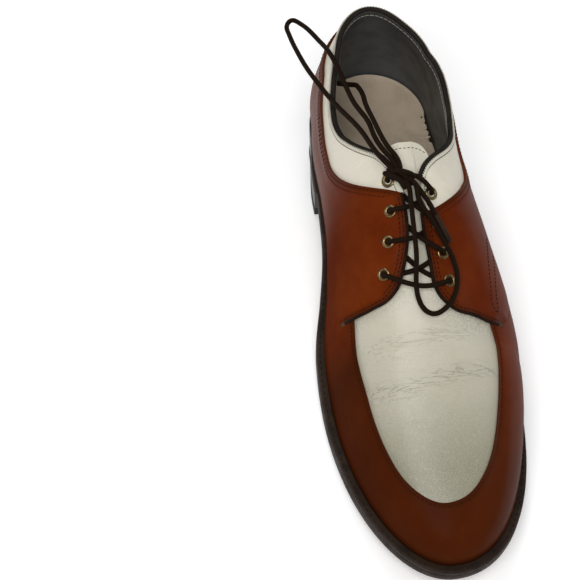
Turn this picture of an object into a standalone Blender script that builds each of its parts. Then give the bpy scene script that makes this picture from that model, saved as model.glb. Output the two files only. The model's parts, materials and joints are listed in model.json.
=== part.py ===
"""Two-tone apron derby for the right foot, standing on its sole with its lace tied in a bow.

Sizes are in millimetres until a mesh is made, and a station is the distance from the back
of the last's heel towards the toe. The toe points to -Y, the inner side of the foot is +X,
and the floor is Z = 0.

A place on the last is a ring and a rise, both in percent. The ring runs from the back seam
(0) along the outer side to the toe tip (100) and back along the inner side (200). The rise
runs from the bottom edge of the last (0) to its ridge (100).
"""

import math

import bmesh
import bpy
import numpy as np
from mathutils import Matrix, Vector

MM = 0.001

# The last
LAST_LENGTH = 294.0
HEEL_AXIS = 34.0
BALL_AXIS = 190.0
CENTRE_STATION = 148.3
CENTRE_X = 1.5
HEEL_SHARE = 20.0
BALL_SHARE = 70.0

SECTION_COLUMNS = ("station", "lateral", "medial", "feather", "ridge_x", "ridge_z", "cone",
                   "bulge_lateral", "bulge_medial", "wall", "shoulder", "drop")
SECTIONS = (
    (34.0, 34.5, 31.0, 30.0, -2.0, 102.0, 23.0, 5.0, 4.0, 0.35, 1.02, 34.0),
    (60.0, 36.5, 33.0, 29.0, -1.0, 107.0, 26.0, 5.5, 6.0, 0.36, 1.05, 36.0),
    (85.0, 35.5, 32.0, 25.5, -1.5, 109.0, 17.0, 5.5, 13.0, 0.38, 1.02, 30.0),
    (110.0, 36.0, 32.5, 20.0, -2.5, 105.0, 6.0, 5.0, 21.0, 0.40, 0.90, 16.0),
    (135.0, 39.5, 37.0, 14.5, -2.5, 97.0, 1.5, 4.0, 23.0, 0.44, 0.75, 6.0),
    (160.0, 44.0, 44.0, 9.5, -2.5, 82.5, 0.0, 3.0, 21.0, 0.48, 0.68, 1.0),
    (190.0, 45.5, 48.5, 7.0, -1.5, 67.5, 0.0, 2.0, 14.0, 0.53, 0.68, 0.0),
)

HEEL_ROUNDNESS = 1.95
HEEL_BULGE = 4.4
HEEL_CONE = 28.0
HEEL_SHOULDER = 0.98

TOE_ROUNDNESS_LATERAL = 1.95
TOE_ROUNDNESS_MEDIAL = 2.15
TOE_BULGE = 1.5
TOE_WALL = 0.50
TOE_SHOULDER = 0.62
TOE_SLOPE = 0.42
TOE_FEATHER = 17.0
TOE_SWING = 2.0

# Leather, sole and heel
GAP = 0.3
UPPER_INSET = 1.6
UPPER_WALL = 1.6
PANEL_SEAT = 1.1
WING_THICKNESS = 1.1
QUARTER_THICKNESS = 1.5
COLLAR_THICKNESS = 1.2
PANEL_FOOT = 5.5
SEAM_GAP_RING = 0.35
SEAM_GAP = 0.9
BACK_GAP = 0.3
WING_COLUMNS = 41
WING_ROWS = 7
QUARTER_COLUMNS = 19
QUARTER_ROWS = 7
FACING_COLUMNS = 10
COLLAR_ROWS = 4
TONGUE_THICKNESS = 2.0
TONGUE_FRONT_LIFT = -2.7
TONGUE_LIFT = -3.9
INSOLE_INSET = 4.6
INSOLE_THICKNESS = 3.5
WELT_THICKNESS = 2.2
WELT_SEAT = -0.6
WELT_END = 33.0
OUTSOLE_FOREPART = 7.1
OUTSOLE_WAIST = 5.0
EDGE_ROUND = 1.0
HEEL_BREAST = 32.0
HEEL_LIFTS = 4
HEEL_GROOVE = 0.5
HEEL_TAPER = 1.4
TOP_LIFT_THICKNESS = 6.0

# How far the sole's edge stands out from the last, round the ring
EDGE_COLUMNS = ("ring", "reach")
SOLE_EDGE = (
    (0.0, 1.8),
    (20.0, 1.8),
    (32.0, 2.6),
    (46.0, 3.4),
    (62.0, 5.0),
    (100.0, 5.2),
    (138.0, 5.0),
    (152.0, 3.6),
    (168.0, 2.8),
    (180.0, 1.8),
    (200.0, 1.8),
)

# Edges and seams on the last: ring, rise, and about how long a percent of each is
PERCENT_LENGTHS = np.array((3.1, 0.9))
UPPER_EDGE_LATERAL = (
    (0.0, 95.5), (10.0, 95.0), (17.5, 93.0), (21.3, 89.0), (25.2, 84.0), (29.0, 77.5), (31.7, 73.5),
    (34.2, 73.5), (37.0, 76.0), (41.0, 73.5), (46.0, 72.0), (52.0, 69.0), (58.0, 68.0), (60.0, 69.0),
    (62.0, 73.0), (63.5, 82.0), (64.3, 93.0), (64.6, 100.0), (100.0, 100.0),
)
UPPER_EDGE_MEDIAL = (
    (0.0, 95.5), (10.0, 95.0), (17.5, 93.0), (21.3, 89.0), (25.2, 84.0), (29.0, 77.0), (33.3, 72.5),
    (37.0, 76.0), (41.0, 75.0), (46.0, 74.0), (52.0, 74.0), (58.0, 74.5), (60.0, 75.0), (62.0, 76.5),
    (63.5, 83.0), (64.3, 93.0), (64.6, 100.0), (100.0, 100.0),
)
TOPLINE = (
    (44.5, 95.7), (41.9, 91.5), (40.0, 85.7), (36.9, 78.0), (34.2, 73.5), (31.7, 73.5), (29.0, 77.5),
    (25.2, 84.0), (21.3, 89.0), (17.5, 93.0), (10.0, 95.0), (0.0, 95.5), (-10.0, 95.0), (-17.5, 93.0),
    (-21.3, 89.0), (-25.2, 84.0), (-29.0, 77.0), (-33.3, 72.5), (-37.2, 76.7), (-41.0, 85.3),
    (-43.6, 92.7), (-47.0, 97.5),
)
COLLAR_SEAM_LATERAL = (
    (0.0, 80.0), (12.0, 78.0), (23.2, 70.7), (29.3, 63.3), (33.4, 54.5), (36.9, 51.7), (39.7, 55.3),
    (42.4, 62.3), (46.3, 78.0), (49.5, 97.0),
)
COLLAR_SEAM_MEDIAL = (
    (0.0, 80.0), (12.0, 78.0), (23.2, 70.7), (29.3, 64.5), (34.4, 60.5), (40.0, 58.0), (43.1, 59.7),
    (45.5, 65.3), (49.6, 78.7), (51.9, 89.7), (52.8, 97.0),
)
FACING_LATERAL = (
    (63.5, 40.0), (64.1, 52.3), (64.4, 67.3), (63.9, 80.0), (62.7, 86.0), (60.5, 90.3), (58.4, 93.3),
    (56.2, 95.3), (53.9, 96.3), (49.5, 97.0),
)
FACING_MEDIAL = (
    (67.2, 52.0), (67.4, 62.3), (66.9, 72.3), (66.3, 83.3), (65.0, 88.7), (63.1, 92.0), (60.1, 93.0),
    (57.3, 94.3), (54.8, 96.0), (52.8, 97.0),
)
QUARTER_FOOT_LATERAL = (
    (0.0, 5.5), (20.0, 5.5), (38.0, 5.5), (46.0, 5.7), (50.0, 7.0), (54.0, 12.0), (58.5, 24.0), (63.5, 40.0),
)
QUARTER_FOOT_MEDIAL = (
    (0.0, 5.5), (20.0, 5.5), (38.0, 5.5), (46.0, 6.0), (50.0, 8.0), (54.5, 14.5), (61.0, 32.0), (67.2, 52.0),
)
APRON_SEAM = (
    (64.5, 51.7), (68.0, 50.7), (73.5, 51.3), (80.6, 51.7), (87.0, 49.7), (91.3, 47.7), (94.1, 46.3),
    (96.7, 46.3), (100.0, 46.9), (102.5, 48.0), (105.1, 50.0), (107.9, 51.9), (112.6, 55.0),
    (118.8, 57.3), (125.8, 58.7), (129.7, 59.5), (132.3, 62.5),
)

# Eyelets, from the collar down: ring, rise
EYELETS_LATERAL = ((46.9, 91.3), (51.7, 87.7), (55.9, 83.3), (60.2, 78.3))
EYELETS_MEDIAL = ((150.5, 90.7), (145.7, 88.0), (141.8, 86.0), (137.8, 84.3))
EYELET_HOLE = 1.75
EYELET_BARREL = 2.1
EYELET_FLANGE = 3.2
EYELET_DEPTH = 1.2
EYELET_HEIGHT = 0.7
FACING_HOLE = 2.45
EYELET_SIDES = 8

# The lace
LACE_RADIUS = 1.3
LACE_STEP = 7.0
LACE_SIDES = 8
CROSSING_LIFT = -1.75
BAR_LIFT = 4.9
STRAND_LIFT = 4.6
KNOT_PLACE = (118.0, -5.0, 106.5)
KNOT_SIZE = (6.2, 5.0, 3.9)
TIP_RADIUS = 1.4

# Routes of the free lace: station, x and the height over the floor, or over the instep
STRAND_LATERAL = ((118.0, -11.9, 105.2),)
STRAND_MEDIAL = ((123.5, 5.6, 102.2), (120.2, 1.2, 104.6))
LOOP_LATERAL = (
    (112.6, -10.2, 107.2), (107.2, -15.1, 106.6), (86.5, -23.0, 101.5), (65.4, -31.5, 94.2),
    (57.1, -34.1, 91.6), (49.2, -37.8, 91.0), (40.0, -42.4, 90.0), (26.0, -45.3, 87.0),
    (9.7, -47.4, 83.0), (2.5, -47.8, 81.0), (-1.1, -44.9, 81.0), (3.8, -41.2, 83.5),
    (19.6, -33.9, 89.5), (34.9, -30.0, 96.3), (44.6, -27.4, 96.4), (54.0, -25.4, 96.0),
    (68.4, -22.9, 99.0), (83.2, -18.3, 103.0), (96.1, -14.9, 105.8), (104.1, -12.4, 108.2),
    (112.2, -6.8, 109.0),
)
END_LATERAL = (
    (112.2, -3.2, 108.4), (103.5, -8.4, 110.2), (83.6, -13.7, 105.7), (71.7, -16.2, 101.0),
    (60.5, -16.9, 95.0), (51.0, -17.3, 88.5), (43.4, -18.0, 80.5),
)
TIP_LATERAL = ((43.0, -18.1, 79.9), (38.5, -19.5, 70.5), (36.5, -21.0, 62.0))
LOOP_MEDIAL = (
    (123.4, -4.9, 7.3), (132.0, -4.4, 7.6), (139.5, -4.1, 7.7), (147.6, -3.8, 7.7),
    (155.7, -3.8, 7.7), (163.0, -4.6, 7.6), (170.0, -4.8, 5.4), (175.5, -3.6, 3.6),
    (179.6, -0.8, 2.4), (181.3, 3.6, 2.4), (178.6, 8.8, 4.4), (172.5, 13.2, 6.2),
    (164.4, 14.3, 8.0), (155.7, 12.6, 8.0), (147.6, 8.5, 7.8), (138.8, 3.2, 7.9),
    (132.0, -0.4, 7.9), (123.0, -1.6, 7.6),
)
END_MEDIAL = ((120.8, 0.9, 7.4), (125.0, 3.2, 7.6), (129.0, 4.2, 7.8), (133.0, 5.6, 7.9), (137.0, 7.6, 7.9))
TIP_MEDIAL = ((137.5, 7.9, 7.8), (142.5, 10.4, 7.8), (149.0, 12.9, 7.8))

# Colours: red, green, blue, roughness, metallic
FINISHES = {
    "brown_leather": (0.165, 0.036, 0.012, 0.36, 0.0),
    "pale_leather": (0.72, 0.69, 0.60, 0.48, 0.0),
    "lining": (0.035, 0.035, 0.033, 0.60, 0.0),
    "sock": (0.36, 0.29, 0.21, 0.65, 0.0),
    "sole_leather": (0.036, 0.022, 0.014, 0.45, 0.0),
    "heel_stack": (0.014, 0.012, 0.011, 0.38, 0.0),
    "rubber": (0.012, 0.012, 0.012, 0.75, 0.0),
    "brass": (0.42, 0.30, 0.11, 0.38, 1.0),
    "lace": (0.020, 0.012, 0.008, 0.70, 0.0),
}

SECTION_ROWS = np.array(SECTIONS)
SECTION_STATIONS = SECTION_ROWS[:, 0]
SECTION_SLOPES = np.gradient(SECTION_ROWS, SECTION_STATIONS, axis=0, edge_order=2)
for end in (0, -1):
    SECTION_SLOPES[end, SECTION_COLUMNS.index("lateral"):SECTION_COLUMNS.index("feather")] = 0.0


def hermite(values, slopes, places, place):
    """Return the value at a place on a smooth curve through the values."""
    first = int(np.clip(np.searchsorted(places, place, side="right") - 1, 0, len(places) - 2))
    span = places[first + 1] - places[first]
    t = (place - places[first]) / span
    start = values[first] * (1 + 2 * t) * (1 - t) ** 2 + slopes[first] * span * t * (1 - t) ** 2
    end = values[first + 1] * t * t * (3 - 2 * t) + slopes[first + 1] * span * t * t * (t - 1)
    return start + end


def section_at(station):
    """Return the named sizes of the last's section at a station between heel and ball."""
    row = hermite(SECTION_ROWS, SECTION_SLOPES, SECTION_STATIONS, station)
    return dict(zip(SECTION_COLUMNS, row))


def station_of(ring):
    """Return the station of the section that a ring place uses."""
    along = side_and_along(ring)[1]
    share = (along - HEEL_SHARE) / (BALL_SHARE - HEEL_SHARE)
    return HEEL_AXIS + min(max(share, 0.0), 1.0) * (BALL_AXIS - HEEL_AXIS)


def side_and_along(ring):
    """Return the side, -1 outer and +1 inner, and the share of the way from heel to toe."""
    ring %= 200.0
    if ring <= 100.0:
        return -1, ring
    return 1, 200.0 - ring


def meridian(ring):
    """Return the start, heading, toe swing and profile of the last's rising line at a ring place."""
    side, along = side_and_along(ring)
    size = section_at(station_of(ring))
    lateral = side < 0
    width = size["lateral"] + size["ridge_x"] if lateral else size["medial"] - size["ridge_x"]
    bulge = size["bulge_lateral"] if lateral else size["bulge_medial"]
    start = (size["ridge_x"], CENTRE_STATION - station_of(ring))
    feather, top, wall, shoulder = size["feather"], size["ridge_z"], size["wall"], size["shoulder"]
    cone, drop, swing = max(size["cone"], 0.0), size["drop"], 0.0
    if along < HEEL_SHARE:
        turn = along / HEEL_SHARE * math.pi / 2
        sine, cosine = math.sin(turn), math.cos(turn)
        reach = radius_of(sine, cosine, width, HEEL_AXIS, HEEL_ROUNDNESS)
        bulge = bulge * sine ** 2 + HEEL_BULGE * cosine ** 2
        cone = cone * sine ** 2 + HEEL_CONE * cosine ** 2
        shoulder = shoulder * sine ** 2 + HEEL_SHOULDER * cosine ** 2
        heading = (side * sine, cosine)
    elif along > BALL_SHARE:
        turn = (100.0 - along) / (100.0 - BALL_SHARE) * math.pi / 2
        sine, cosine = math.sin(turn), math.cos(turn)
        length = LAST_LENGTH - BALL_AXIS
        roundness = TOE_ROUNDNESS_LATERAL if lateral else TOE_ROUNDNESS_MEDIAL
        reach = radius_of(sine, cosine, width, length, roundness)
        feather += (TOE_FEATHER - feather) * (reach * cosine / length) ** 2
        bulge = bulge * sine ** 2 + TOE_BULGE * cosine ** 2
        wall = wall * sine ** 2 + TOE_WALL * cosine ** 2
        shoulder = shoulder * sine ** 2 + TOE_SHOULDER * cosine ** 2
        drop = TOE_SLOPE * shoulder * reach * cosine
        swing = TOE_SWING * (cosine / length) ** 2
        heading = (side * sine, -cosine)
    else:
        reach, heading = width, (side, 0.0)
    profile = ((reach, feather), (reach + bulge, feather + wall * (top - feather)),
               (shoulder * reach, top - drop), (cone, top))
    return start, heading, swing, profile


def radius_of(sine, cosine, width, length, roundness):
    """Return how far a rounded end of the last reaches in a direction."""
    return ((sine / width) ** roundness + (max(cosine, 0.0) / length) ** roundness) ** (-1 / roundness)


def last_point(ring, rise):
    """Return a point on the last."""
    start, heading, swing, profile = meridian(ring)
    t = rise / 100.0
    weights = ((1 - t) ** 3, 3 * (1 - t) ** 2 * t, 3 * (1 - t) * t ** 2, t ** 3)
    out = sum(weight * place[0] for weight, place in zip(weights, profile))
    height = sum(weight * place[1] for weight, place in zip(weights, profile))
    return np.array((start[0] + heading[0] * out + swing * out ** 2 - CENTRE_X,
                     start[1] + heading[1] * out, height))


def last_normal(ring, rise):
    """Return the last's outward direction at a point, the same from both sides on the ridge."""
    if rise > 99.5:
        station = min(max(station_of(ring), HEEL_AXIS + 1.0), BALL_AXIS - 1.0)
        slope = (section_at(station + 1.0)["ridge_z"] - section_at(station - 1.0)["ridge_z"]) / 2
        return np.array((0.0, slope, 1.0)) / math.hypot(slope, 1.0)
    rise = min(max(rise, 1.0), 98.5)
    around = last_point(ring + 0.1, rise) - last_point(ring - 0.1, rise)
    upward = last_point(ring, rise + 1.0) - last_point(ring, rise - 1.0)
    normal = np.cross(around, upward)
    return normal / np.linalg.norm(normal)


def lifted(ring, rise, lift):
    """Return a point at a distance outside the upper, which is inset from the last's outline."""
    return last_point(ring, rise) + (lift - UPPER_INSET) * last_normal(ring, rise)


def instep_point(station, x, lift):
    """Return a point over the instep, at a distance above the last's surface."""
    size = section_at(min(station, BALL_AXIS))
    ring = HEEL_SHARE + (BALL_SHARE - HEEL_SHARE) * (station - HEEL_AXIS) / (BALL_AXIS - HEEL_AXIS)
    x_from_ridge = x - (size["ridge_x"] - CENTRE_X)
    if x_from_ridge > 0.0:
        ring = 200.0 - ring
    low, high = 30.0, 100.0
    while high - low > 0.01:
        middle = (low + high) / 2
        if abs(last_point(ring, middle)[0] - (size["ridge_x"] - CENTRE_X)) > abs(x_from_ridge):
            low = middle
        else:
            high = middle
    point = lifted(ring, low, lift)
    if abs(x_from_ridge) < size["cone"]:
        point[0] = x
    return point


def bed(y):
    """Return the height of the last's bottom edge over the floor."""
    station = CENTRE_STATION - y
    if station <= BALL_AXIS:
        return section_at(max(station, HEEL_AXIS))["feather"]
    ball = SECTIONS[-1][SECTION_COLUMNS.index("feather")]
    share = (station - BALL_AXIS) / (LAST_LENGTH - BALL_AXIS)
    return ball + (TOE_FEATHER - ball) * share ** 2


def outsole_top(y):
    """Return the height of the outsole's upper face."""
    return bed(y) - GAP


def outsole_bottom(y):
    """Return the height of the outsole's lower face, flat on the floor under the ball."""
    station = CENTRE_STATION - y
    share = min(max((station - 120.0) / 50.0, 0.0), 1.0)
    thickness = OUTSOLE_WAIST + (OUTSOLE_FOREPART - OUTSOLE_WAIST) * share
    return max(outsole_top(y) - thickness, 0.0)


def outline_point(ring, reach, rise=0.0):
    """Return a point of the last's outline in plan, moved outwards by a reach."""
    here = last_point(ring, rise)[:2]
    along = last_point(ring + 0.1, rise)[:2] - last_point(ring - 0.1, rise)[:2]
    along /= np.linalg.norm(along)
    return here + reach * np.array((along[1], -along[0]))


def sole_edge(ring):
    """Return how far the sole's edge stands out from the last."""
    rings, reaches = zip(*SOLE_EDGE)
    return float(np.interp(ring % 200.0, rings, reaches))


def edge_rise(ring):
    """Return the rise of the upper's own top edge."""
    side, along = side_and_along(ring)
    rings, rises = zip(*(UPPER_EDGE_LATERAL if side < 0 else UPPER_EDGE_MEDIAL))
    return float(np.interp(along, rings, rises))


def smooth_route(points, step):
    """Return places a step apart on a smooth curve through the points."""
    points = np.array(points, dtype=float)
    lengths = np.linalg.norm(np.diff(points, axis=0), axis=1)
    places = np.concatenate(((0.0,), np.cumsum(lengths)))
    slopes = np.gradient(points, places, axis=0, edge_order=2 if len(points) > 2 else 1)
    count = max(int(round(places[-1] / step)), 2)
    return [hermite(points, slopes, places, place) for place in np.linspace(0.0, places[-1], count + 1)]


def finish(name):
    """Return the named material, made on its first use."""
    if name in bpy.data.materials:
        return bpy.data.materials[name]
    red, green, blue, roughness, metallic = FINISHES[name]
    material = bpy.data.materials.new(name)
    material.use_nodes = True
    shader = material.node_tree.nodes["Principled BSDF"]
    shader.inputs["Base Color"].default_value = (red, green, blue, 1.0)
    shader.inputs["Roughness"].default_value = roughness
    shader.inputs["Metallic"].default_value = metallic
    material.diffuse_color = (red, green, blue, 1.0)
    return material


def add_object(name, data, material, parent):
    """Link an object with its material under the shoe's empty."""
    shape = bpy.data.objects.new(name, data)
    bpy.context.scene.collection.objects.link(shape)
    data.materials.append(finish(material))
    shape.parent = parent
    return shape


def mesh_from(name, points, faces):
    """Return a smooth-shaded mesh from millimetre points, with coincident points joined."""
    shape = bmesh.new()
    places = [shape.verts.new(Vector(point) * MM) for point in points]
    for face in faces:
        shape.faces.new([places[index] for index in face])
    bmesh.ops.remove_doubles(shape, verts=shape.verts[:], dist=0.01 * MM)
    bmesh.ops.dissolve_degenerate(shape, edges=shape.edges[:], dist=0.01 * MM)
    bmesh.ops.recalc_face_normals(shape, faces=shape.faces[:])
    mesh = bpy.data.meshes.new(name)
    shape.to_mesh(mesh)
    shape.free()
    mesh.shade_smooth()
    mesh.set_sharp_from_angle(angle=math.radians(40.0))
    return mesh


def grid_faces(rows, columns, closed):
    """Return the faces of a grid of points that is listed row by row."""
    faces = []
    for row in range(rows - 1):
        for column in range(columns if closed else columns - 1):
            after = (column + 1) % columns
            faces.append((row * columns + column, row * columns + after,
                          (row + 1) * columns + after, (row + 1) * columns + column))
    return faces


def thicken(shape, thickness, offset):
    """Give a sheet its wall, inwards at offset -1 and outwards at +1."""
    wall = shape.modifiers.new("wall", "SOLIDIFY")
    wall.thickness = thickness * MM
    wall.offset = offset
    wall.use_rim = True


def face_outwards(mesh):
    """Turn a sheet's faces away from the middle of the shoe's foot space."""
    shape = bmesh.new()
    shape.from_mesh(mesh)
    shape.faces.ensure_lookup_table()
    total = 0.0
    for face in shape.faces:
        middle = face.calc_center_median()
        inside = Vector((0.0, middle.y * 0.9, 0.03))
        total += face.normal.dot(middle - inside) * face.calc_area()
    if total < 0.0:
        bmesh.ops.reverse_faces(shape, faces=shape.faces[:])
    shape.to_mesh(mesh)
    shape.free()


def toe_places(count):
    """Return ring places from the ball to the toe tip, closer together at the tip."""
    return 100.0 - (100.0 - BALL_SHARE) * np.linspace(1.0, 0.0, count) ** 1.35


def upper(parent):
    """Make the hollow upper, open at collar, throat and underneath."""
    heel = np.linspace(0.0, HEEL_SHARE, 8)
    side = np.concatenate((np.linspace(HEEL_SHARE, 56.0, 14)[1:], np.linspace(57.5, 64.6, 6), (67.3,)))
    outer = np.concatenate((heel, side, toe_places(11)))
    rings = np.concatenate((outer, 200.0 - outer[-2:0:-1]))
    steps = np.linspace(0.0, 1.0, 10)
    points = [lifted(ring, edge_rise(ring) * step, 0.0) for step in steps for ring in rings]
    mesh = mesh_from("upper", points, grid_faces(len(steps), len(rings), True))
    face_outwards(mesh)
    shape = add_object("upper", mesh, "pale_leather", parent)
    thicken(shape, UPPER_WALL, -1.0)
    return shape


def edge_curve(points, count):
    """Return evenly spread places on a smooth seam through ring and rise points."""
    points = np.array(points, dtype=float)
    scaled = np.diff(points, axis=0) * PERCENT_LENGTHS
    places = np.concatenate(((0.0,), np.cumsum(np.linalg.norm(scaled, axis=1))))
    slopes = np.gradient(points, places, axis=0, edge_order=1)
    return [hermite(points, slopes, places, place) for place in np.linspace(0.0, places[-1], count)]


def panel(name, foot, front, top, back, thickness, material, parent):
    """Make a leather panel on the last between four seams.

    The foot and top run from back to front with as many places each, and so do the back
    and front, from foot to top.
    """
    rows, columns = len(back), len(foot)
    points = []
    for row in range(rows):
        q = row / (rows - 1)
        for column in range(columns):
            p = column / (columns - 1)
            across = (1 - q) * foot[column] + q * top[column]
            along = (1 - p) * back[row] + p * front[row]
            corners = ((1 - q) * ((1 - p) * foot[0] + p * foot[-1]) + q * ((1 - p) * top[0] + p * top[-1]))
            ring, rise = across + along - corners
            points.append(lifted(ring, rise, PANEL_SEAT))
    mesh = mesh_from(name, points, grid_faces(rows, columns, False))
    face_outwards(mesh)
    shape = add_object(name, mesh, material, parent)
    thicken(shape, thickness, 1.0)
    return shape


def beside(places, gap):
    """Return seam places moved to the right of their run by a gap."""
    run = np.gradient(np.array(places) * PERCENT_LENGTHS, axis=0)
    run /= np.linalg.norm(run, axis=1)[:, None]
    right = np.stack((run[:, 1], -run[:, 0]), axis=1)
    return list(np.array(places) + gap * right / PERCENT_LENGTHS)


def inner_side(points):
    """Return seam points moved from the outer side to the inner side."""
    return tuple((200.0 - ring, rise) for ring, rise in points)


def apron_wing(parent):
    """Make the wing round the toe, between the sole and the pale plug."""
    ends = []
    for seam, tip in ((QUARTER_FOOT_LATERAL, APRON_SEAM[0]), (QUARTER_FOOT_MEDIAL, inner_side(APRON_SEAM)[-1])):
        moved = [(ring + SEAM_GAP_RING, rise) for ring, rise in seam[4:]]
        ends.append(((moved[0][0], PANEL_FOOT), *moved[1:], (tip[0] + 2 * SEAM_GAP_RING, tip[1])))
    back, front = ends[0], inner_side(ends[1])
    foot = (back[0], (70.0, PANEL_FOOT), (100.0, PANEL_FOOT), (130.0, PANEL_FOOT), front[0])
    top = (back[-1], *APRON_SEAM[1:-1], front[-1])
    return panel("apron_wing", edge_curve(foot, WING_COLUMNS), edge_curve(front, WING_ROWS),
                 edge_curve(top, WING_COLUMNS), edge_curve(back, WING_ROWS), WING_THICKNESS,
                 "brown_leather", parent)


def quarter_top(seam, back_ring):
    """Return the places of a quarter's top edge, from the back seam to the facing."""
    return edge_curve(((back_ring, seam[0][1]), *seam[1:]), QUARTER_COLUMNS)


def quarters(parent):
    """Make the two quarters with their lacing facings."""
    shapes = []
    for name, foot, front, seam, middle in (
            ("quarter_lateral", QUARTER_FOOT_LATERAL, FACING_LATERAL, COLLAR_SEAM_LATERAL, BACK_GAP),
            ("quarter_medial", inner_side(QUARTER_FOOT_MEDIAL), inner_side(FACING_MEDIAL),
             inner_side(COLLAR_SEAM_MEDIAL), 200.0 - BACK_GAP)):
        back = ((middle, PANEL_FOOT), (middle, 40.0), (middle, seam[0][1]))
        top = [*quarter_top(seam, middle), *edge_curve(front[::-1], FACING_COLUMNS)[1:]]
        corner = [np.array(front[0])] * QUARTER_ROWS
        shapes.append(panel(name, edge_curve((back[0], *foot[1:]), len(top)), corner, top,
                            edge_curve(back, QUARTER_ROWS), QUARTER_THICKNESS, "brown_leather", parent))
    return shapes


def collar_band(parent):
    """Make the pale band under the top edge, from facing to facing round the heel."""
    lateral = quarter_top(COLLAR_SEAM_LATERAL, BACK_GAP)[::-1]
    medial = quarter_top(inner_side(COLLAR_SEAM_MEDIAL), 200.0 - BACK_GAP)
    foot = beside([*lateral, *(place - (200.0, 0.0) for place in medial)], SEAM_GAP)
    back = (foot[0], (46.8, 97.0), TOPLINE[0])
    front = (foot[-1], (-49.8, 97.8), TOPLINE[-1])
    return panel("collar_band", foot, edge_curve(front, COLLAR_ROWS), edge_curve(TOPLINE, len(foot)),
                 edge_curve(back, COLLAR_ROWS), COLLAR_THICKNESS, "pale_leather", parent)


TONGUE_STATIONS = (182.0, 176.0, 170.0, 163.0, 154.0, 145.0, 136.0, 127.0, 118.0)
TONGUE_HALF = (12.0, 13.0, 14.0, 15.0, 16.0, 17.0, 17.5, 18.0, 18.5)
TONGUE_TOP_LENGTHS = (7.0, 14.0, 19.0)
TONGUE_TOP_RISE = 0.42


def tongue(parent):
    """Make the tongue, from under the plug to its free end above the facings."""
    shares = np.linspace(-1.0, 1.0, 7)
    rows = []
    for station, half in zip(TONGUE_STATIONS, TONGUE_HALF):
        ease = min(max((station - 163.0) / 9.0, 0.0), 1.0)
        lift = TONGUE_LIFT + (TONGUE_FRONT_LIFT - TONGUE_LIFT) * ease * ease * (3 - 2 * ease)
        middle = section_at(station)["ridge_x"] - CENTRE_X
        rows.append([instep_point(station, middle + share * half, lift) for share in shares])
    for length in TONGUE_TOP_LENGTHS:
        step = np.array((0.0, length, TONGUE_TOP_RISE * length))
        rows.append([point + step for point in rows[len(TONGUE_STATIONS) - 1]])
    points = [point for row in rows for point in row]
    mesh = mesh_from("tongue", points, grid_faces(len(rows), len(shares), False))
    face_outwards(mesh)
    shape = add_object("tongue", mesh, "pale_leather", parent)
    thicken(shape, TONGUE_THICKNESS, -1.0)
    return shape


def block(name, alongs, layers, material, parent):
    """Make a solid of stacked outlines under the foot.

    Each layer gives the reach outside the last at a ring place, and the height at a y.
    The alongs run from the heel towards the toe, and a last one of 100 is the toe tip.
    """
    inner = [200.0 - along for along in alongs[::-1] if along not in (0.0, 100.0)]
    rings = [*alongs, *inner]
    points = []
    for reach, height in layers:
        for ring in rings:
            x, y = outline_point(ring, reach(ring))
            points.append((x, y, height(y)))
    count = len(rings)
    faces = grid_faces(len(layers), count, True)
    for layer in (0, len(layers) - 1):
        base = layer * count
        left, right = 1, count - 1
        faces.append((base, base + left, base + right))
        while right - left > 2:
            faces.append((base + left, base + left + 1, base + right - 1, base + right))
            left, right = left + 1, right - 1
        if right - left == 2:
            faces.append((base + left, base + left + 1, base + right))
    return add_object(name, mesh_from(name, points, faces), material, parent)


SOLE_ALONGS = (*np.linspace(0.0, HEEL_SHARE, 8), *np.linspace(24.0, 66.0, 15), *toe_places(14))
HEEL_ALONGS = (*np.linspace(0.0, HEEL_SHARE, 9), 24.0, 28.0, HEEL_BREAST)


def outsole(parent):
    """Make the outsole with its arch, toe spring and rounded edge."""
    layers = (
        (lambda ring: sole_edge(ring) - EDGE_ROUND, outsole_top),
        (sole_edge, lambda y: outsole_top(y) - EDGE_ROUND),
        (sole_edge, lambda y: outsole_bottom(y) + 2 * EDGE_ROUND),
        (lambda ring: sole_edge(ring) - 1.5 * EDGE_ROUND, outsole_bottom),
    )
    return block("outsole", SOLE_ALONGS, layers, "sole_leather", parent)


def insole(parent):
    """Make the insole inside the upper's wall."""
    def reach(_ring):
        return -INSOLE_INSET

    layers = ((reach, lambda y: bed(y) + INSOLE_THICKNESS), (reach, bed))
    return block("insole", SOLE_ALONGS, layers, "sock", parent)


def heel(parent):
    """Make the heel stack with its lifts, and the rubber lift under it."""
    def stack_top(y):
        return outsole_bottom(y) - GAP

    stack_bottom = TOP_LIFT_THICKNESS + GAP
    layers = []
    for lift in range(HEEL_LIFTS):
        for part, inset in ((0.0, HEEL_GROOVE), (0.12, 0.0), (0.88, 0.0)):
            share = (lift + part) / HEEL_LIFTS
            layers.append((
                lambda ring, share=share, inset=inset: sole_edge(ring) - HEEL_TAPER * share - inset,
                lambda y, share=share: stack_top(y) + (stack_bottom - stack_top(y)) * share,
            ))
    layers.append((lambda ring: sole_edge(ring) - HEEL_TAPER - HEEL_GROOVE, lambda y: stack_bottom))
    stack = block("heel_stack", HEEL_ALONGS, layers, "heel_stack", parent)

    def lift_reach(ring):
        return sole_edge(ring) - HEEL_TAPER

    top_lift = (
        (lambda ring: lift_reach(ring) - HEEL_GROOVE, lambda y: TOP_LIFT_THICKNESS),
        (lift_reach, lambda y: TOP_LIFT_THICKNESS - HEEL_GROOVE),
        (lift_reach, lambda y: HEEL_GROOVE),
        (lambda ring: lift_reach(ring) - HEEL_GROOVE, lambda y: 0.0),
    )
    return stack, block("top_lift", HEEL_ALONGS, top_lift, "rubber", parent)


def rise_at(ring, height):
    """Return the rise where the last is a height above its bottom edge."""
    low, high = 0.0, 30.0
    foot = last_point(ring, 0.0)[2]
    while high - low > 0.01:
        middle = (low + high) / 2
        if last_point(ring, middle)[2] - foot < height:
            low = middle
        else:
            high = middle
    return high


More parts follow.
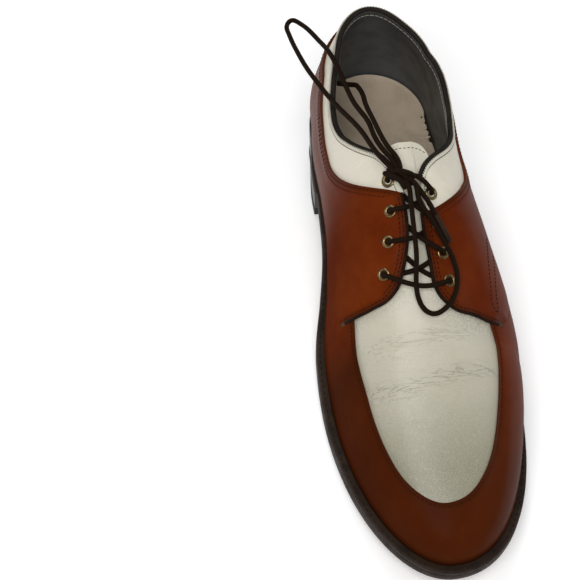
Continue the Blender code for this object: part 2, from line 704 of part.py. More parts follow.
def welt(parent):
    """Make the welt, from one side of the heel round the toe to the other."""
    alongs = (*np.linspace(WELT_END, 66.0, 12), *toe_places(14))
    rings = (*alongs, *(200.0 - along for along in alongs[-2::-1]))
    rows = [[], [], [], []]
    for ring in rings:
        outer = sole_edge(ring) - 0.4
        lean = rise_at(ring, WELT_THICKNESS + GAP)
        for row, reach, rise, height in ((0, WELT_SEAT, 0.0, 0.0), (1, outer, 0.0, 0.0),
                                         (2, outer, 0.0, WELT_THICKNESS), (3, WELT_SEAT, lean, WELT_THICKNESS)):
            x, y = outline_point(ring, reach, rise)
            rows[row].append((x, y, bed(y) + height))
    count = len(rings)
    points = [point for row in rows for point in row]
    faces = []
    for row in range(4):
        after = (row + 1) % 4
        for column in range(count - 1):
            faces.append((row * count + column, row * count + column + 1,
                          after * count + column + 1, after * count + column))
    faces.append(tuple(row * count for row in range(4)))
    faces.append(tuple(row * count + count - 1 for row in range(4)))
    return add_object("welt", mesh_from("welt", points, faces), "sole_leather", parent)


def axis_frame(place, normal):
    """Return the placing of a piece whose own Z stands along a normal."""
    turn = Vector(normal).to_track_quat("Z", "Y").to_matrix().to_4x4()
    return Matrix.Translation(Vector(place) * MM) @ turn


def eyelet(name, ring, rise, seat, parent):
    """Make a brass eyelet whose flange lies on the panel."""
    profile = (
        (EYELET_HOLE, -EYELET_DEPTH),
        (EYELET_BARREL, -EYELET_DEPTH),
        (EYELET_BARREL, 0.15),
        (EYELET_FLANGE, 0.15),
        (EYELET_FLANGE - 0.3, EYELET_HEIGHT - 0.1),
        (EYELET_HOLE + 0.4, EYELET_HEIGHT),
        (EYELET_HOLE, EYELET_HEIGHT - 0.3),
    )
    points = []
    for step in range(EYELET_SIDES):
        angle = 2 * math.pi * step / EYELET_SIDES
        points.extend((radius * math.cos(angle), radius * math.sin(angle), height) for radius, height in profile)
    faces = []
    for step in range(EYELET_SIDES):
        after = (step + 1) % EYELET_SIDES
        for row in range(len(profile)):
            above = (row + 1) % len(profile)
            faces.append((step * len(profile) + row, after * len(profile) + row,
                          after * len(profile) + above, step * len(profile) + above))
    shape = add_object(name, mesh_from(name, points, faces), "brass", parent)
    shape.matrix_local = axis_frame(lifted(ring, rise, seat), last_normal(ring, rise))
    return shape


def pierce(panel_shape, eyelets, parent):
    """Cut the eyelet holes through a panel."""
    for number, (ring, rise) in enumerate(eyelets, start=1):
        name = f"hole_{panel_shape.name}_{number}"
        shape = bmesh.new()
        bmesh.ops.create_cone(shape, cap_ends=True, segments=EYELET_SIDES, radius1=FACING_HOLE * MM,
                              radius2=FACING_HOLE * MM, depth=8.0 * MM)
        mesh = bpy.data.meshes.new(name)
        shape.to_mesh(mesh)
        shape.free()
        cutter = add_object(name, mesh, "brass", parent)
        cutter.matrix_local = axis_frame(lifted(ring, rise, PANEL_SEAT), last_normal(ring, rise))
        cutter.hide_render = True
        cutter.display_type = "WIRE"
        cut = panel_shape.modifiers.new(name, "BOOLEAN")
        cut.operation = "DIFFERENCE"
        cut.object = cutter


def eyelets(lateral, medial, collar, parent):
    """Pierce the panels and set the eyelets, numbered from the collar down."""
    for side, places, quarter in (("lateral", EYELETS_LATERAL, lateral), ("medial", EYELETS_MEDIAL, medial)):
        for number, (ring, rise) in enumerate(places, start=1):
            thickness = COLLAR_THICKNESS if number == 1 else QUARTER_THICKNESS
            eyelet(f"eyelet_{side}_{number}", ring, rise, PANEL_SEAT + thickness, parent)
        pierce(quarter, places[1:], parent)
    pierce(collar, (EYELETS_LATERAL[0], EYELETS_MEDIAL[0]), parent)


def cord(name, route, radius, material, parent):
    """Make a round cord along a smooth route."""
    places = smooth_route(route, LACE_STEP)
    curve = bpy.data.curves.new(name, "CURVE")
    curve.dimensions = "3D"
    curve.bevel_depth = radius * MM
    curve.bevel_resolution = 2
    curve.use_fill_caps = True
    spline = curve.splines.new("POLY")
    spline.points.add(len(places) - 1)
    for point, place in zip(spline.points, places):
        point.co = (*(Vector(place) * MM), 1.0)
    return add_object(name, curve, material, parent)


def tube_mesh(name, route, radius):
    """Return a closed tube along a smooth route, as a mesh."""
    places = [Vector(place) for place in smooth_route(route, LACE_STEP)]
    points = []
    for index, place in enumerate(places):
        heading = (places[min(index + 1, len(places) - 1)] - places[max(index - 1, 0)]).normalized()
        side = heading.cross(Vector((0.0, 0.0, 1.0))).normalized()
        over = side.cross(heading)
        for step in range(LACE_SIDES):
            angle = 2 * math.pi * step / LACE_SIDES
            points.append(place + radius * (math.cos(angle) * side + math.sin(angle) * over))
    faces = grid_faces(len(places), LACE_SIDES, True)
    faces.append(tuple(range(LACE_SIDES)))
    faces.append(tuple(range(len(points) - LACE_SIDES, len(points))))
    return mesh_from(name, points, faces)


def station_and_x(ring, rise):
    """Return the station and x of an eyelet."""
    point = last_point(ring, rise)
    return np.array((CENTRE_STATION - point[1], point[0]))


def lace_bars(parent):
    """Make the straight bars that lie across the facings, from the second row down."""
    for number in range(2, len(EYELETS_LATERAL) + 1):
        start = station_and_x(*EYELETS_LATERAL[number - 1])
        end = station_and_x(*EYELETS_MEDIAL[number - 1])
        route = []
        for share in np.linspace(0.0, 1.0, 7):
            station = start[0] + (end[0] - start[0]) * share
            x = start[1] + (end[1] - start[1]) * share
            route.append(instep_point(station, x, BAR_LIFT))
        name = f"lace_bar_{number}"
        add_object(name, tube_mesh(name, route, LACE_RADIUS), "lace", parent)


def lace_cross(parent):
    """Make the slanting runs under the facings, joined where they cross."""
    runs = (
        (EYELETS_LATERAL[3], EYELETS_MEDIAL[2]),
        (EYELETS_MEDIAL[3], EYELETS_LATERAL[1]),
        (EYELETS_LATERAL[2], EYELETS_MEDIAL[0]),
        (EYELETS_MEDIAL[1], EYELETS_LATERAL[0]),
    )
    shapes = []
    for number, (first, last) in enumerate(runs, start=1):
        start, end = station_and_x(*first), station_and_x(*last)
        route = []
        for share in np.linspace(0.06, 0.94, 5):
            station = start[0] + (end[0] - start[0]) * share
            x = start[1] + (end[1] - start[1]) * share
            route.append(instep_point(station, x, CROSSING_LIFT))
        name = "lace_cross" if number == 1 else f"lace_run_{number}"
        shapes.append(add_object(name, tube_mesh(name, route, LACE_RADIUS), "lace", parent))
    for helper in shapes[1:]:
        helper.hide_render = True
        helper.display_type = "WIRE"
        join = shapes[0].modifiers.new(helper.name, "BOOLEAN")
        join.operation = "UNION"
        join.object = helper


def floor_route(route):
    """Return a route's points from stations, sides and heights over the floor."""
    return [(x - CENTRE_X, CENTRE_STATION - station, height) for station, x, height in route]


def instep_route(route):
    """Return a route's points from stations, sides and heights over the instep."""
    return [instep_point(station, x - CENTRE_X, lift) for station, x, lift in route]


def lace_bow(parent):
    """Make the knot, the strands that come up to it, the loops and the ends with their tips."""
    shape = bmesh.new()
    bmesh.ops.create_uvsphere(shape, u_segments=12, v_segments=8, radius=MM)
    bmesh.ops.scale(shape, vec=Vector(KNOT_SIZE), verts=shape.verts[:])
    mesh = bpy.data.meshes.new("lace_knot")
    shape.to_mesh(mesh)
    shape.free()
    mesh.shade_smooth()
    knot = add_object("lace_knot", mesh, "lace", parent)
    station, x, height = KNOT_PLACE
    knot.location = Vector((x - CENTRE_X, CENTRE_STATION - station, height)) * MM

    strands = {}
    for side, first, rest in (("lateral", EYELETS_LATERAL[0], STRAND_LATERAL),
                              ("medial", EYELETS_MEDIAL[0], STRAND_MEDIAL)):
        strands[side] = [instep_point(*station_and_x(*first), STRAND_LIFT), *floor_route(rest)]
    for side, route in strands.items():
        name = f"lace_strand_{side}"
        add_object(name, tube_mesh(name, route, LACE_RADIUS), "lace", parent)
    cord("lace_loop_lateral", floor_route(LOOP_LATERAL), LACE_RADIUS, "lace", parent)
    cord("lace_end_lateral", floor_route(END_LATERAL), LACE_RADIUS, "lace", parent)
    cord("lace_tip_lateral", floor_route(TIP_LATERAL), TIP_RADIUS, "lace", parent)
    cord("lace_loop_medial", instep_route(LOOP_MEDIAL), LACE_RADIUS, "lace", parent)
    cord("lace_end_medial", instep_route(END_MEDIAL), LACE_RADIUS, "lace", parent)
    cord("lace_tip_medial", instep_route(TIP_MEDIAL), TIP_RADIUS, "lace", parent)


def main():
    """Clear the scene and make the shoe from the floor up."""
    for shape in list(bpy.data.objects):
        bpy.data.objects.remove(shape, do_unlink=True)
    shoe = bpy.data.objects.new("shoe", None)
    bpy.context.scene.collection.objects.link(shoe)
    heel(shoe)
    outsole(shoe)
    welt(shoe)
    insole(shoe)
    upper(shoe)
    apron_wing(shoe)
    lateral, medial = quarters(shoe)
    collar = collar_band(shoe)
    tongue(shoe)
    eyelets(lateral, medial, collar, shoe)
    lace_bars(shoe)
    lace_cross(shoe)
    lace_bow(shoe)


main()
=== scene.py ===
"""Two-tone apron derby, right shoe: leather, stitching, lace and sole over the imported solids.

Sizes are in millimetres until a mesh is made. A place on the last is a ring and a rise, both in
percent: the ring runs from the back seam (0) along the outer side to the toe tip (100) and back
along the inner side (200), and the rise from the last's bottom edge (0) to its ridge (100). One
percent of ring is about 3.1 mm, and one of rise about 0.9 mm.
"""

from __future__ import annotations

import json
import logging
import math
from collections.abc import Callable
from dataclasses import dataclass, field
from enum import Enum

import bpy
import numpy as np
from mathutils import Matrix, Vector
from mathutils.kdtree import KDTree

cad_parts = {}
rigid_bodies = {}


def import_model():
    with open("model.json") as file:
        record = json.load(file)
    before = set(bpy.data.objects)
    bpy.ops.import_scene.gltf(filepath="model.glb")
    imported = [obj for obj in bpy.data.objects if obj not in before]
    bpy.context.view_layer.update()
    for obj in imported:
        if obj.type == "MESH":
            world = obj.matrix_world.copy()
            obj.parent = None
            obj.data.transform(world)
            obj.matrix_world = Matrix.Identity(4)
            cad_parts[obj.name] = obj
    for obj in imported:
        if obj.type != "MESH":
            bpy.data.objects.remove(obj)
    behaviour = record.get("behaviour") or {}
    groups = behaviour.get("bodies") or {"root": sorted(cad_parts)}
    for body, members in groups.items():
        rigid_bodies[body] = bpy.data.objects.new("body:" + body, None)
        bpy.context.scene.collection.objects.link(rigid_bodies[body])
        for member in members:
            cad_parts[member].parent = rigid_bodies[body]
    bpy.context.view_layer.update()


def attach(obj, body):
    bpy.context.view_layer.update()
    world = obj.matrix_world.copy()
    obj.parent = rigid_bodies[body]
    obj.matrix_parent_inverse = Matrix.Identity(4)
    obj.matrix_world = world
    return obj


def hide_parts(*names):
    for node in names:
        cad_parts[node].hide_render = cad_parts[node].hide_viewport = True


LOG = logging.getLogger("derby")
MM = 0.001
BODY = "root"
RING = 200.0
RIDGE = 100.0
RING_MM = 3.1
RISE_MM = 0.9
Points = np.ndarray
Place = tuple[float, float]
Spot = tuple[float, float, float]
Colour = tuple[float, float, float]
Table = tuple[tuple[float, ...], ...]
Names = tuple[str, ...]
Faces = list[tuple[int, ...]]
Piece = bpy.types.Object
Material = bpy.types.Material
Node = bpy.types.Node
Tree = bpy.types.NodeTree
Socket = bpy.types.NodeSocket
Sockets = bpy.types.bpy_prop_collection


class Side(Enum):
    """The two sides of the right foot."""

    LATERAL = -1
    MEDIAL = 1


SECTION_COLUMNS = ("station", "lateral", "medial", "feather", "ridge_x", "ridge_z", "cone",
                   "bulge_lateral", "bulge_medial", "wall", "shoulder", "drop")
SECTIONS = (
    (34.0, 34.5, 31.0, 30.0, -2.0, 102.0, 23.0, 5.0, 0.5, 0.35, 1.02, 34.0),
    (60.0, 36.5, 33.0, 29.0, -1.0, 107.0, 26.0, 5.5, 0.5, 0.36, 1.05, 36.0),
    (85.0, 35.5, 32.0, 25.5, -1.5, 109.0, 17.0, 5.5, 7.0, 0.38, 1.02, 30.0),
    (110.0, 36.0, 32.5, 20.0, -2.5, 105.0, 6.0, 5.0, 19.5, 0.40, 0.90, 16.0),
    (135.0, 39.5, 37.0, 14.5, -2.5, 97.0, 1.5, 4.0, 23.0, 0.44, 0.75, 6.0),
    (160.0, 44.0, 44.0, 9.5, -2.5, 82.5, 0.0, 3.0, 21.0, 0.48, 0.68, 1.0),
    (190.0, 45.5, 48.5, 7.0, -1.5, 67.5, 0.0, 2.0, 14.0, 0.53, 0.68, 0.0),
)

MEDIAL_CONE = ((34.0, 3.0), (45.0, 2.0), (60.0, 2.6), (85.0, 6.0), (98.0, 4.5), (112.0, 0.0))


@dataclass
class Last:
    """The form that the shoe is made on, as a function of ring and rise."""

    centre_x: float = 1.5
    centre_station: float = 148.3
    length: float = 294.0
    heel_axis: float = 34.0
    ball_axis: float = 190.0
    heel_share: float = 20.0
    ball_share: float = 70.0
    heel_roundness: float = 1.95
    heel_bulge: float = 4.4
    heel_cone: float = 28.0
    heel_shoulder: float = 0.98
    toe_roundness_lateral: float = 1.95
    toe_roundness_medial: float = 2.15
    toe_bulge: float = 1.5
    toe_wall: float = 0.50
    toe_shoulder: float = 0.62
    toe_slope: float = 0.42
    toe_feather: float = 17.0
    toe_swing: float = 2.0
    upper_inset: float = 1.6
    medial_shoulder: float = 0.08
    heel_lean: float = 9.0

    def __post_init__(self) -> None:
        """Keep the section table and its slopes."""
        self.rows = np.array(SECTIONS)
        self.stations = self.rows[:, 0]
        self.slopes = np.gradient(self.rows, self.stations, axis=0, edge_order=2)
        for end in (0, -1):
            self.slopes[end, SECTION_COLUMNS.index("lateral"):SECTION_COLUMNS.index("feather")] = 0.0

    def sizes(self, station: Points) -> dict[str, Points]:
        """Give the section's sizes at stations between heel and ball.

        Args:
            station: Distances from the back of the heel.

        Returns:
            One array for each named column.
        """
        table = hermite(self.rows, self.slopes, self.stations, station)
        return {name: table[..., index] for index, name in enumerate(SECTION_COLUMNS)}

    def station_of(self, along: Points) -> Points:
        """Give the station of the section that a share of the way to the toe uses."""
        share = (along - self.heel_share) / (self.ball_share - self.heel_share)
        return self.heel_axis + np.clip(share, 0.0, 1.0) * (self.ball_axis - self.heel_axis)

    def point(self, ring: Points, rise: Points) -> Points:
        """Give points on the last.

        Args:
            ring: Ring places in percent.
            rise: Rises in percent.

        Returns:
            Points in millimetres, with the last axis x, y and z.
        """
        ring, rise = np.broadcast_arrays(np.asarray(ring, float) % RING, np.asarray(rise, float))
        lateral = ring <= 100.0
        along = np.where(lateral, ring, RING - ring)
        side = np.where(lateral, -1.0, 1.0)
        station = self.station_of(along)
        size = self.sizes(station)
        heel, toe = along < self.heel_share, along > self.ball_share
        turn = np.where(heel, along / self.heel_share, (100.0 - along) / (100.0 - self.ball_share))
        turn = np.where(heel | toe, turn, 1.0) * math.pi / 2
        sine, cosine = np.sin(turn), np.where(heel | toe, np.cos(turn), 0.0)
        width = np.where(lateral, size["lateral"] + size["ridge_x"], size["medial"] - size["ridge_x"])
        reach_long = np.where(heel, self.heel_axis, self.length - self.ball_axis)
        power = np.where(lateral, self.toe_roundness_lateral, self.toe_roundness_medial)
        power = np.where(heel, self.heel_roundness, power)
        reach = ((sine / width) ** power + (np.maximum(cosine, 0.0) / reach_long) ** power) ** (-1 / power)
        s2, c2 = sine ** 2, cosine ** 2
        lifted_toe = (self.toe_feather - size["feather"]) * (reach * cosine / reach_long) ** 2
        feather = size["feather"] + np.where(toe, lifted_toe, 0.0)
        bulge = np.where(lateral, size["bulge_lateral"], size["bulge_medial"])
        bulge = bulge * s2 + np.where(heel, self.heel_bulge, self.toe_bulge) * c2
        lean = np.where(lateral, 0.0, 1.0 - ramp(station, 80.0, 112.0))
        narrow = np.where(lateral, 0.0, np.interp(station, *zip(*MEDIAL_CONE)))
        size["cone"] = np.maximum(size["cone"], 0.0) + narrow
        size["shoulder"] = size["shoulder"] - self.medial_shoulder * lean
        cone = size["cone"] * s2 + np.where(heel, self.heel_cone, 0.0) * c2
        wall = np.where(toe, size["wall"] * s2 + self.toe_wall * c2, size["wall"])
        end_shoulder = np.where(heel, self.heel_shoulder, self.toe_shoulder)
        shoulder = size["shoulder"] * s2 + end_shoulder * c2
        drop = np.where(toe, self.toe_slope * shoulder * reach * cosine, size["drop"])
        swing = np.where(toe, self.toe_swing * (cosine / reach_long) ** 2, 0.0)
        top = size["ridge_z"]
        t = rise / 100.0
        w0, w1, w2, w3 = (1 - t) ** 3, 3 * (1 - t) ** 2 * t, 3 * (1 - t) * t ** 2, t ** 3
        out = w0 * reach + w1 * (reach + bulge) + w2 * shoulder * reach + w3 * cone
        height = w0 * feather + w1 * (feather + wall * (top - feather)) + w2 * (top - drop) + w3 * top
        x = size["ridge_x"] + side * sine * out + swing * out ** 2 - self.centre_x
        y = self.centre_station - station + np.where(heel, cosine, -cosine) * out
        x = x - self.heel_lean * t ** 2 * ramp(y, 100.0, 136.0) * ramp(x, -26.0, 20.0)
        return np.stack((x, y, height), axis=-1)

    def normal(self, ring: Points, rise: Points) -> Points:
        """Give the last's outward directions, the same from both sides on the ridge.

        Args:
            ring: Ring places in percent.
            rise: Rises in percent.

        Returns:
            Directions of length one.
        """
        ring, rise = np.broadcast_arrays(np.asarray(ring, float), np.asarray(rise, float))
        low = np.clip(rise, 1.0, 98.5)
        around = self.point(ring + 0.1, low) - self.point(ring - 0.1, low)
        upward = self.point(ring, low + 1.0) - self.point(ring, low - 1.0)
        normal = unit(np.cross(around, upward))
        along = np.where(ring % RING <= 100.0, ring % RING, RING - ring % RING)
        station = np.clip(self.station_of(along), self.heel_axis + 1.0, self.ball_axis - 1.0)
        slope = (self.sizes(station + 1.0)["ridge_z"] - self.sizes(station - 1.0)["ridge_z"]) / 2
        ridge = unit(np.stack((np.zeros_like(slope), slope, np.ones_like(slope)), axis=-1))
        blend = np.clip((rise - 96.0) / 4.0, 0.0, 1.0)[..., None]
        return unit(normal * (1 - blend) + ridge * blend)

    def lifted(self, ring: Points, rise: Points, lift: Points) -> Points:
        """Give points at a distance outside the last."""
        return self.point(ring, rise) + np.asarray(lift, float)[..., None] * self.normal(ring, rise)

    def instep(self, station: float, x: float, lift: float) -> Points:
        """Give a point over the instep, above the upper's own surface.

        Args:
            station: Distance from the back of the heel.
            x: Side place in the model's frame.
            lift: Height over the upper's surface.

        Returns:
            One point in millimetres.
        """
        size = self.sizes(np.array(min(station, self.ball_axis)))
        middle = float(size["ridge_x"]) - self.centre_x
        share = (station - self.heel_axis) / (self.ball_axis - self.heel_axis)
        ring = self.heel_share + (self.ball_share - self.heel_share) * share
        if x > middle:
            ring = RING - ring
        low, high = 30.0, 100.0
        while high - low > 0.01:
            mid = (low + high) / 2
            if abs(self.point(ring, mid)[0] - middle) > abs(x - middle):
                low = mid
            else:
                high = mid
        place = self.lifted(ring, low, lift - self.upper_inset)
        if abs(x - middle) < float(size["cone"]):
            place[0] = x
        return place

    def bed(self, y: Points) -> Points:
        """Give the height of the last's bottom edge over the floor.

        Args:
            y: Points along the shoe.

        Returns:
            Heights in millimetres.
        """
        station = self.centre_station - np.asarray(y, float)
        near = self.sizes(np.clip(station, self.heel_axis, self.ball_axis))["feather"]
        share = np.clip((station - self.ball_axis) / (self.length - self.ball_axis), 0.0, None)
        return near + (self.toe_feather - SECTIONS[-1][3]) * share ** 2

    def outline(self, ring: Points, reach: Points) -> Points:
        """Give plan points of the last's outline, moved outwards.

        Args:
            ring: Ring places in percent.
            reach: Distances outwards.

        Returns:
            Points with x and y.
        """
        ring = np.asarray(ring, float)
        run = unit(self.point(ring + 0.1, 0.0)[..., :2] - self.point(ring - 0.1, 0.0)[..., :2])
        out = np.stack((run[..., 1], -run[..., 0]), axis=-1)
        return self.point(ring, 0.0)[..., :2] + np.asarray(reach, float)[..., None] * out


def hermite(values: Points, slopes: Points, places: Points, at: Points) -> Points:
    """Give values on a smooth curve through a table.

    Args:
        values: Table rows.
        slopes: Slopes of the rows.
        places: Where the rows stand, rising.
        at: Where values are asked for.

    Returns:
        One row of values for each place asked for.
    """
    at = np.asarray(at, float)
    first = np.clip(np.searchsorted(places, at, side="right") - 1, 0, len(places) - 2)
    span = places[first + 1] - places[first]
    t = ((at - places[first]) / span)[..., None]
    span = span[..., None]
    start = values[first] * (1 + 2 * t) * (1 - t) ** 2 + slopes[first] * span * t * (1 - t) ** 2
    end = values[first + 1] * t * t * (3 - 2 * t) + slopes[first + 1] * span * t * t * (t - 1)
    return start + end


def unit(vectors: Points) -> Points:
    """Give vectors of length one."""
    return vectors / np.maximum(np.linalg.norm(vectors, axis=-1, keepdims=True), 1e-9)


def arc_lengths(points: Points) -> Points:
    """Give how far along a route each of its points is."""
    return np.concatenate(((0.0,), np.cumsum(np.linalg.norm(np.diff(points, axis=0), axis=1))))


def on_route(wanted: Points, lengths: Points, points: Points) -> Points:
    """Give the points of a route at wanted lengths, from its points and their lengths."""
    return np.stack([np.interp(wanted, lengths, points[:, axis]) for axis in range(points.shape[1])], axis=-1)


def smooth_line(points: Points, step: float) -> Points:
    """Give points a step apart on a smooth curve through a route.

    Args:
        points: The route's own points.
        step: Distance between the points given back.

    Returns:
        The denser route.
    """
    points = np.asarray(points, float)
    places = arc_lengths(points)
    slopes = np.gradient(points, places, axis=0, edge_order=2 if len(points) > 2 else 1)
    dense = hermite(points, slopes, places, np.linspace(0.0, places[-1], 40 * len(points)))
    lengths = arc_lengths(dense)
    return on_route(np.linspace(0.0, lengths[-1], max(int(round(lengths[-1] / step)), 2) + 1), lengths, dense)


class Seam:
    """A line of places on the last, such as a cut edge or a stitch row."""

    def __init__(self, last: Last, places: Points) -> None:
        """Keep the dense places of the line and how far along each one is.

        Args:
            last: The form under the line.
            places: Ring and rise of each place, close together.
        """
        self.last = last
        self.places = np.asarray(places, float)
        self.lengths = arc_lengths(last.point(self.places[:, 0], self.places[:, 1]))

    @classmethod
    def through(cls, last: Last, table: Table, inner: bool = False) -> Seam:
        """Draw a smooth line through a table of places.

        Args:
            last: The form under the line.
            table: Ring and rise of the listed places.
            inner: True to move the table from the outer to the inner side.

        Returns:
            The line.
        """
        points = np.array([(RING - ring, rise) if inner else (ring, rise) for ring, rise in table], float)
        scaled = np.diff(points, axis=0) * np.array((RING_MM, RISE_MM))
        places = np.concatenate(((0.0,), np.cumsum(np.linalg.norm(scaled, axis=1))))
        slopes = np.gradient(points, places, axis=0, edge_order=1)
        return cls(last, hermite(points, slopes, places, np.linspace(0.0, places[-1], 50 * len(points))))

    @property
    def length(self) -> float:
        """Length of the line in millimetres."""
        return float(self.lengths[-1])

    def at(self, shares: Points) -> Points:
        """Give the places at shares of the line's length."""
        return on_route(np.asarray(shares, float) * self.length, self.lengths, self.places)

    def part(self, first: float, final: float) -> Seam:
        """Give the stretch between two shares of the length."""
        return Seam(self.last, self.at(np.linspace(first, final, 200)))

    def joined(self, other: Seam) -> Seam:
        """Give this line carried on by another one."""
        return Seam(self.last, np.concatenate((self.places, other.places[1:])))

    def beside(self, distance: float) -> Seam:
        """Give the line moved to the left of its run, seen from outside.

        Args:
            distance: Sideways distance in millimetres.

        Returns:
            The parallel line.
        """
        count = max(int(self.length / 1.5), 12)
        places = self.at(np.linspace(0.0, 1.0, count))
        points = self.last.point(places[:, 0], places[:, 1])
        run = unit(np.gradient(points, axis=0))
        across = np.cross(self.last.normal(places[:, 0], places[:, 1]), run) * distance
        ring, rise = places[:, 0], places[:, 1]
        by_ring = (self.last.point(ring + 0.05, rise) - self.last.point(ring - 0.05, rise)) / 0.1
        by_rise = (self.last.point(ring, rise + 0.2) - self.last.point(ring, rise - 0.2)) / 0.4
        a, b, c = (by_ring ** 2).sum(1), (by_ring * by_rise).sum(1), (by_rise ** 2).sum(1)
        p, q = (by_ring * across).sum(1), (by_rise * across).sum(1)
        det = np.maximum(a * c - b * b, 1e-6)
        moved = places + np.stack(((p * c - q * b) / det, (q * a - p * b) / det), axis=1)
        return Seam(self.last, moved)

    def points(self, lift: float, step: float) -> tuple[Points, Points]:
        """Give evenly spread points above the last.

        Args:
            lift: Height over the last.
            step: Distance between points.

        Returns:
            The points, and the outward directions there.
        """
        places = self.at(np.linspace(0.0, 1.0, max(int(self.length / step), 2) + 1))
        return (self.last.lifted(places[:, 0], places[:, 1], np.full(len(places), lift)),
                self.last.normal(places[:, 0], places[:, 1]))


class Seams:
    """The shoe's cut edges, as listed places on the last."""

    TOPLINE = (
        (44.5, 95.7), (41.9, 91.5), (40.0, 85.7), (36.9, 78.0), (34.2, 73.5), (31.7, 73.5), (29.0, 77.5),
        (25.2, 84.0), (21.3, 89.0), (17.5, 93.0), (10.0, 95.0), (0.0, 95.5), (-10.0, 95.0), (-17.5, 93.0),
        (-21.3, 89.0), (-25.2, 84.0), (-29.0, 77.0), (-33.3, 72.5), (-37.2, 76.7), (-41.0, 85.3),
        (-43.6, 92.7), (-47.0, 97.5),
    )
    COLLAR_FRONT_LATERAL = ((49.5, 98.2), (47.9, 97.2), (46.3, 96.5))
    COLLAR_FRONT_MEDIAL = ((-50.0, 97.2), (-51.6, 94.0))
    COLLAR_LATERAL = (
        (0.0, 80.0), (12.0, 78.0), (23.2, 70.7), (29.3, 63.3), (33.4, 54.5), (36.9, 51.7), (39.7, 55.3),
        (42.4, 62.3), (46.3, 78.0), (49.5, 97.0),
    )
    COLLAR_MEDIAL = (
        (0.0, 80.0), (12.0, 78.0), (23.2, 70.7), (29.3, 64.5), (34.4, 60.5), (40.0, 58.0), (43.1, 59.7),
        (45.5, 65.3), (49.6, 78.7), (51.9, 89.7), (52.8, 97.0),
    )
    FACING_LATERAL = (
        (49.5, 97.0), (53.9, 96.3), (56.2, 95.3), (58.4, 93.3), (60.5, 90.3), (62.7, 86.0), (63.9, 80.0),
        (64.4, 67.3), (64.1, 52.3), (63.5, 40.0),
    )
    FACING_MEDIAL = (
        (52.8, 97.0), (54.8, 96.0), (57.3, 94.3), (60.1, 93.0), (63.1, 92.0), (65.0, 88.7), (66.3, 83.3),
        (66.9, 72.3), (67.4, 62.3), (67.2, 52.0),
    )
    FOOT_LATERAL = (
        (0.0, 1.5), (20.0, 1.5), (36.0, 1.5), (44.0, 1.7), (48.0, 3.0), (53.0, 9.0), (58.3, 22.5),
        (63.5, 40.0),
    )
    FOOT_MEDIAL = (
        (0.0, 1.5), (20.0, 1.5), (36.0, 1.5), (44.0, 1.9), (48.0, 4.0), (54.0, 13.0), (61.0, 31.0),
        (67.2, 52.0),
    )
    APRON = (
        (62.2, 51.9), (64.5, 51.7), (68.0, 50.7), (73.5, 51.3), (80.6, 51.7), (87.0, 49.7), (91.3, 47.7),
        (94.1, 46.3), (96.7, 46.3), (100.0, 46.9), (102.5, 48.0), (105.1, 50.0), (107.9, 51.9),
        (112.6, 55.0), (118.8, 57.3), (125.8, 58.7), (129.7, 59.5), (132.3, 62.0), (134.4, 62.8),
    )
    WING_END_LATERAL = ((45.5, 1.5), (51.0, 9.0), (56.2, 22.5), (61.2, 40.0), (62.2, 51.9))
    WING_END_MEDIAL = ((45.5, 1.5), (52.0, 13.0), (59.0, 31.0), (65.0, 52.0), (65.6, 62.8))
    LINING_LATERAL = (
        (0.0, 95.5), (10.0, 95.0), (17.5, 93.0), (21.3, 89.0), (25.2, 84.0), (29.0, 77.5), (31.7, 73.5),
        (34.2, 73.5), (36.9, 78.0), (40.0, 84.5), (43.0, 88.0), (48.0, 88.0), (54.0, 86.0), (58.0, 82.0),
        (60.5, 78.0), (62.0, 79.0), (63.5, 84.0), (64.3, 93.0), (64.6, 100.0), (100.0, 100.0),
    )
    LINING_MEDIAL = (
        (0.0, 95.5), (10.0, 95.0), (17.5, 93.0), (21.3, 89.0), (25.2, 84.0), (29.0, 77.0), (33.3, 72.5),
        (37.2, 76.7), (41.0, 84.0), (44.0, 88.0), (48.0, 90.0), (54.0, 88.0), (58.0, 85.0), (60.5, 83.0),
        (62.0, 82.0), (63.5, 84.0), (64.3, 93.0), (64.6, 100.0), (100.0, 100.0),
    )
    EYELETS_LATERAL = ((46.9, 91.3), (51.7, 87.7), (55.9, 83.3), (60.2, 78.3))
    EYELETS_MEDIAL = ((150.5, 90.7), (145.7, 88.0), (141.8, 86.0), (137.8, 84.3))

    def __init__(self, last: Last) -> None:
        """Draw every edge on the last.

        Args:
            last: The form under the edges.
        """
        self.last = last
        self.topline = Seam.through(last, self.TOPLINE)
        self.apron = Seam.through(last, self.APRON)
        self.collar = self.pair(self.COLLAR_LATERAL, self.COLLAR_MEDIAL)
        self.facing = self.pair(self.FACING_LATERAL, self.FACING_MEDIAL)
        self.foot = self.pair(self.FOOT_LATERAL, self.FOOT_MEDIAL)
        self.wing_end = self.pair(self.WING_END_LATERAL, self.WING_END_MEDIAL)
        self.eyelets = {Side.LATERAL: self.EYELETS_LATERAL, Side.MEDIAL: self.EYELETS_MEDIAL}

    def pair(self, lateral: Table, medial: Table) -> dict[Side, Seam]:
        """Draw an edge on both sides, from tables that both run along the outer side."""
        return {Side.LATERAL: Seam.through(self.last, lateral),
                Side.MEDIAL: Seam.through(self.last, medial, inner=True)}


def feed(tree: Tree, target: Socket, value: object) -> None:
    """Join an output to an input, or set the input's own value.

    Args:
        tree: The tree of both.
        target: The input.
        value: A node's output, or a plain value.
    """
    if isinstance(value, Socket):
        tree.links.new(value, target)
    else:
        target.default_value = value


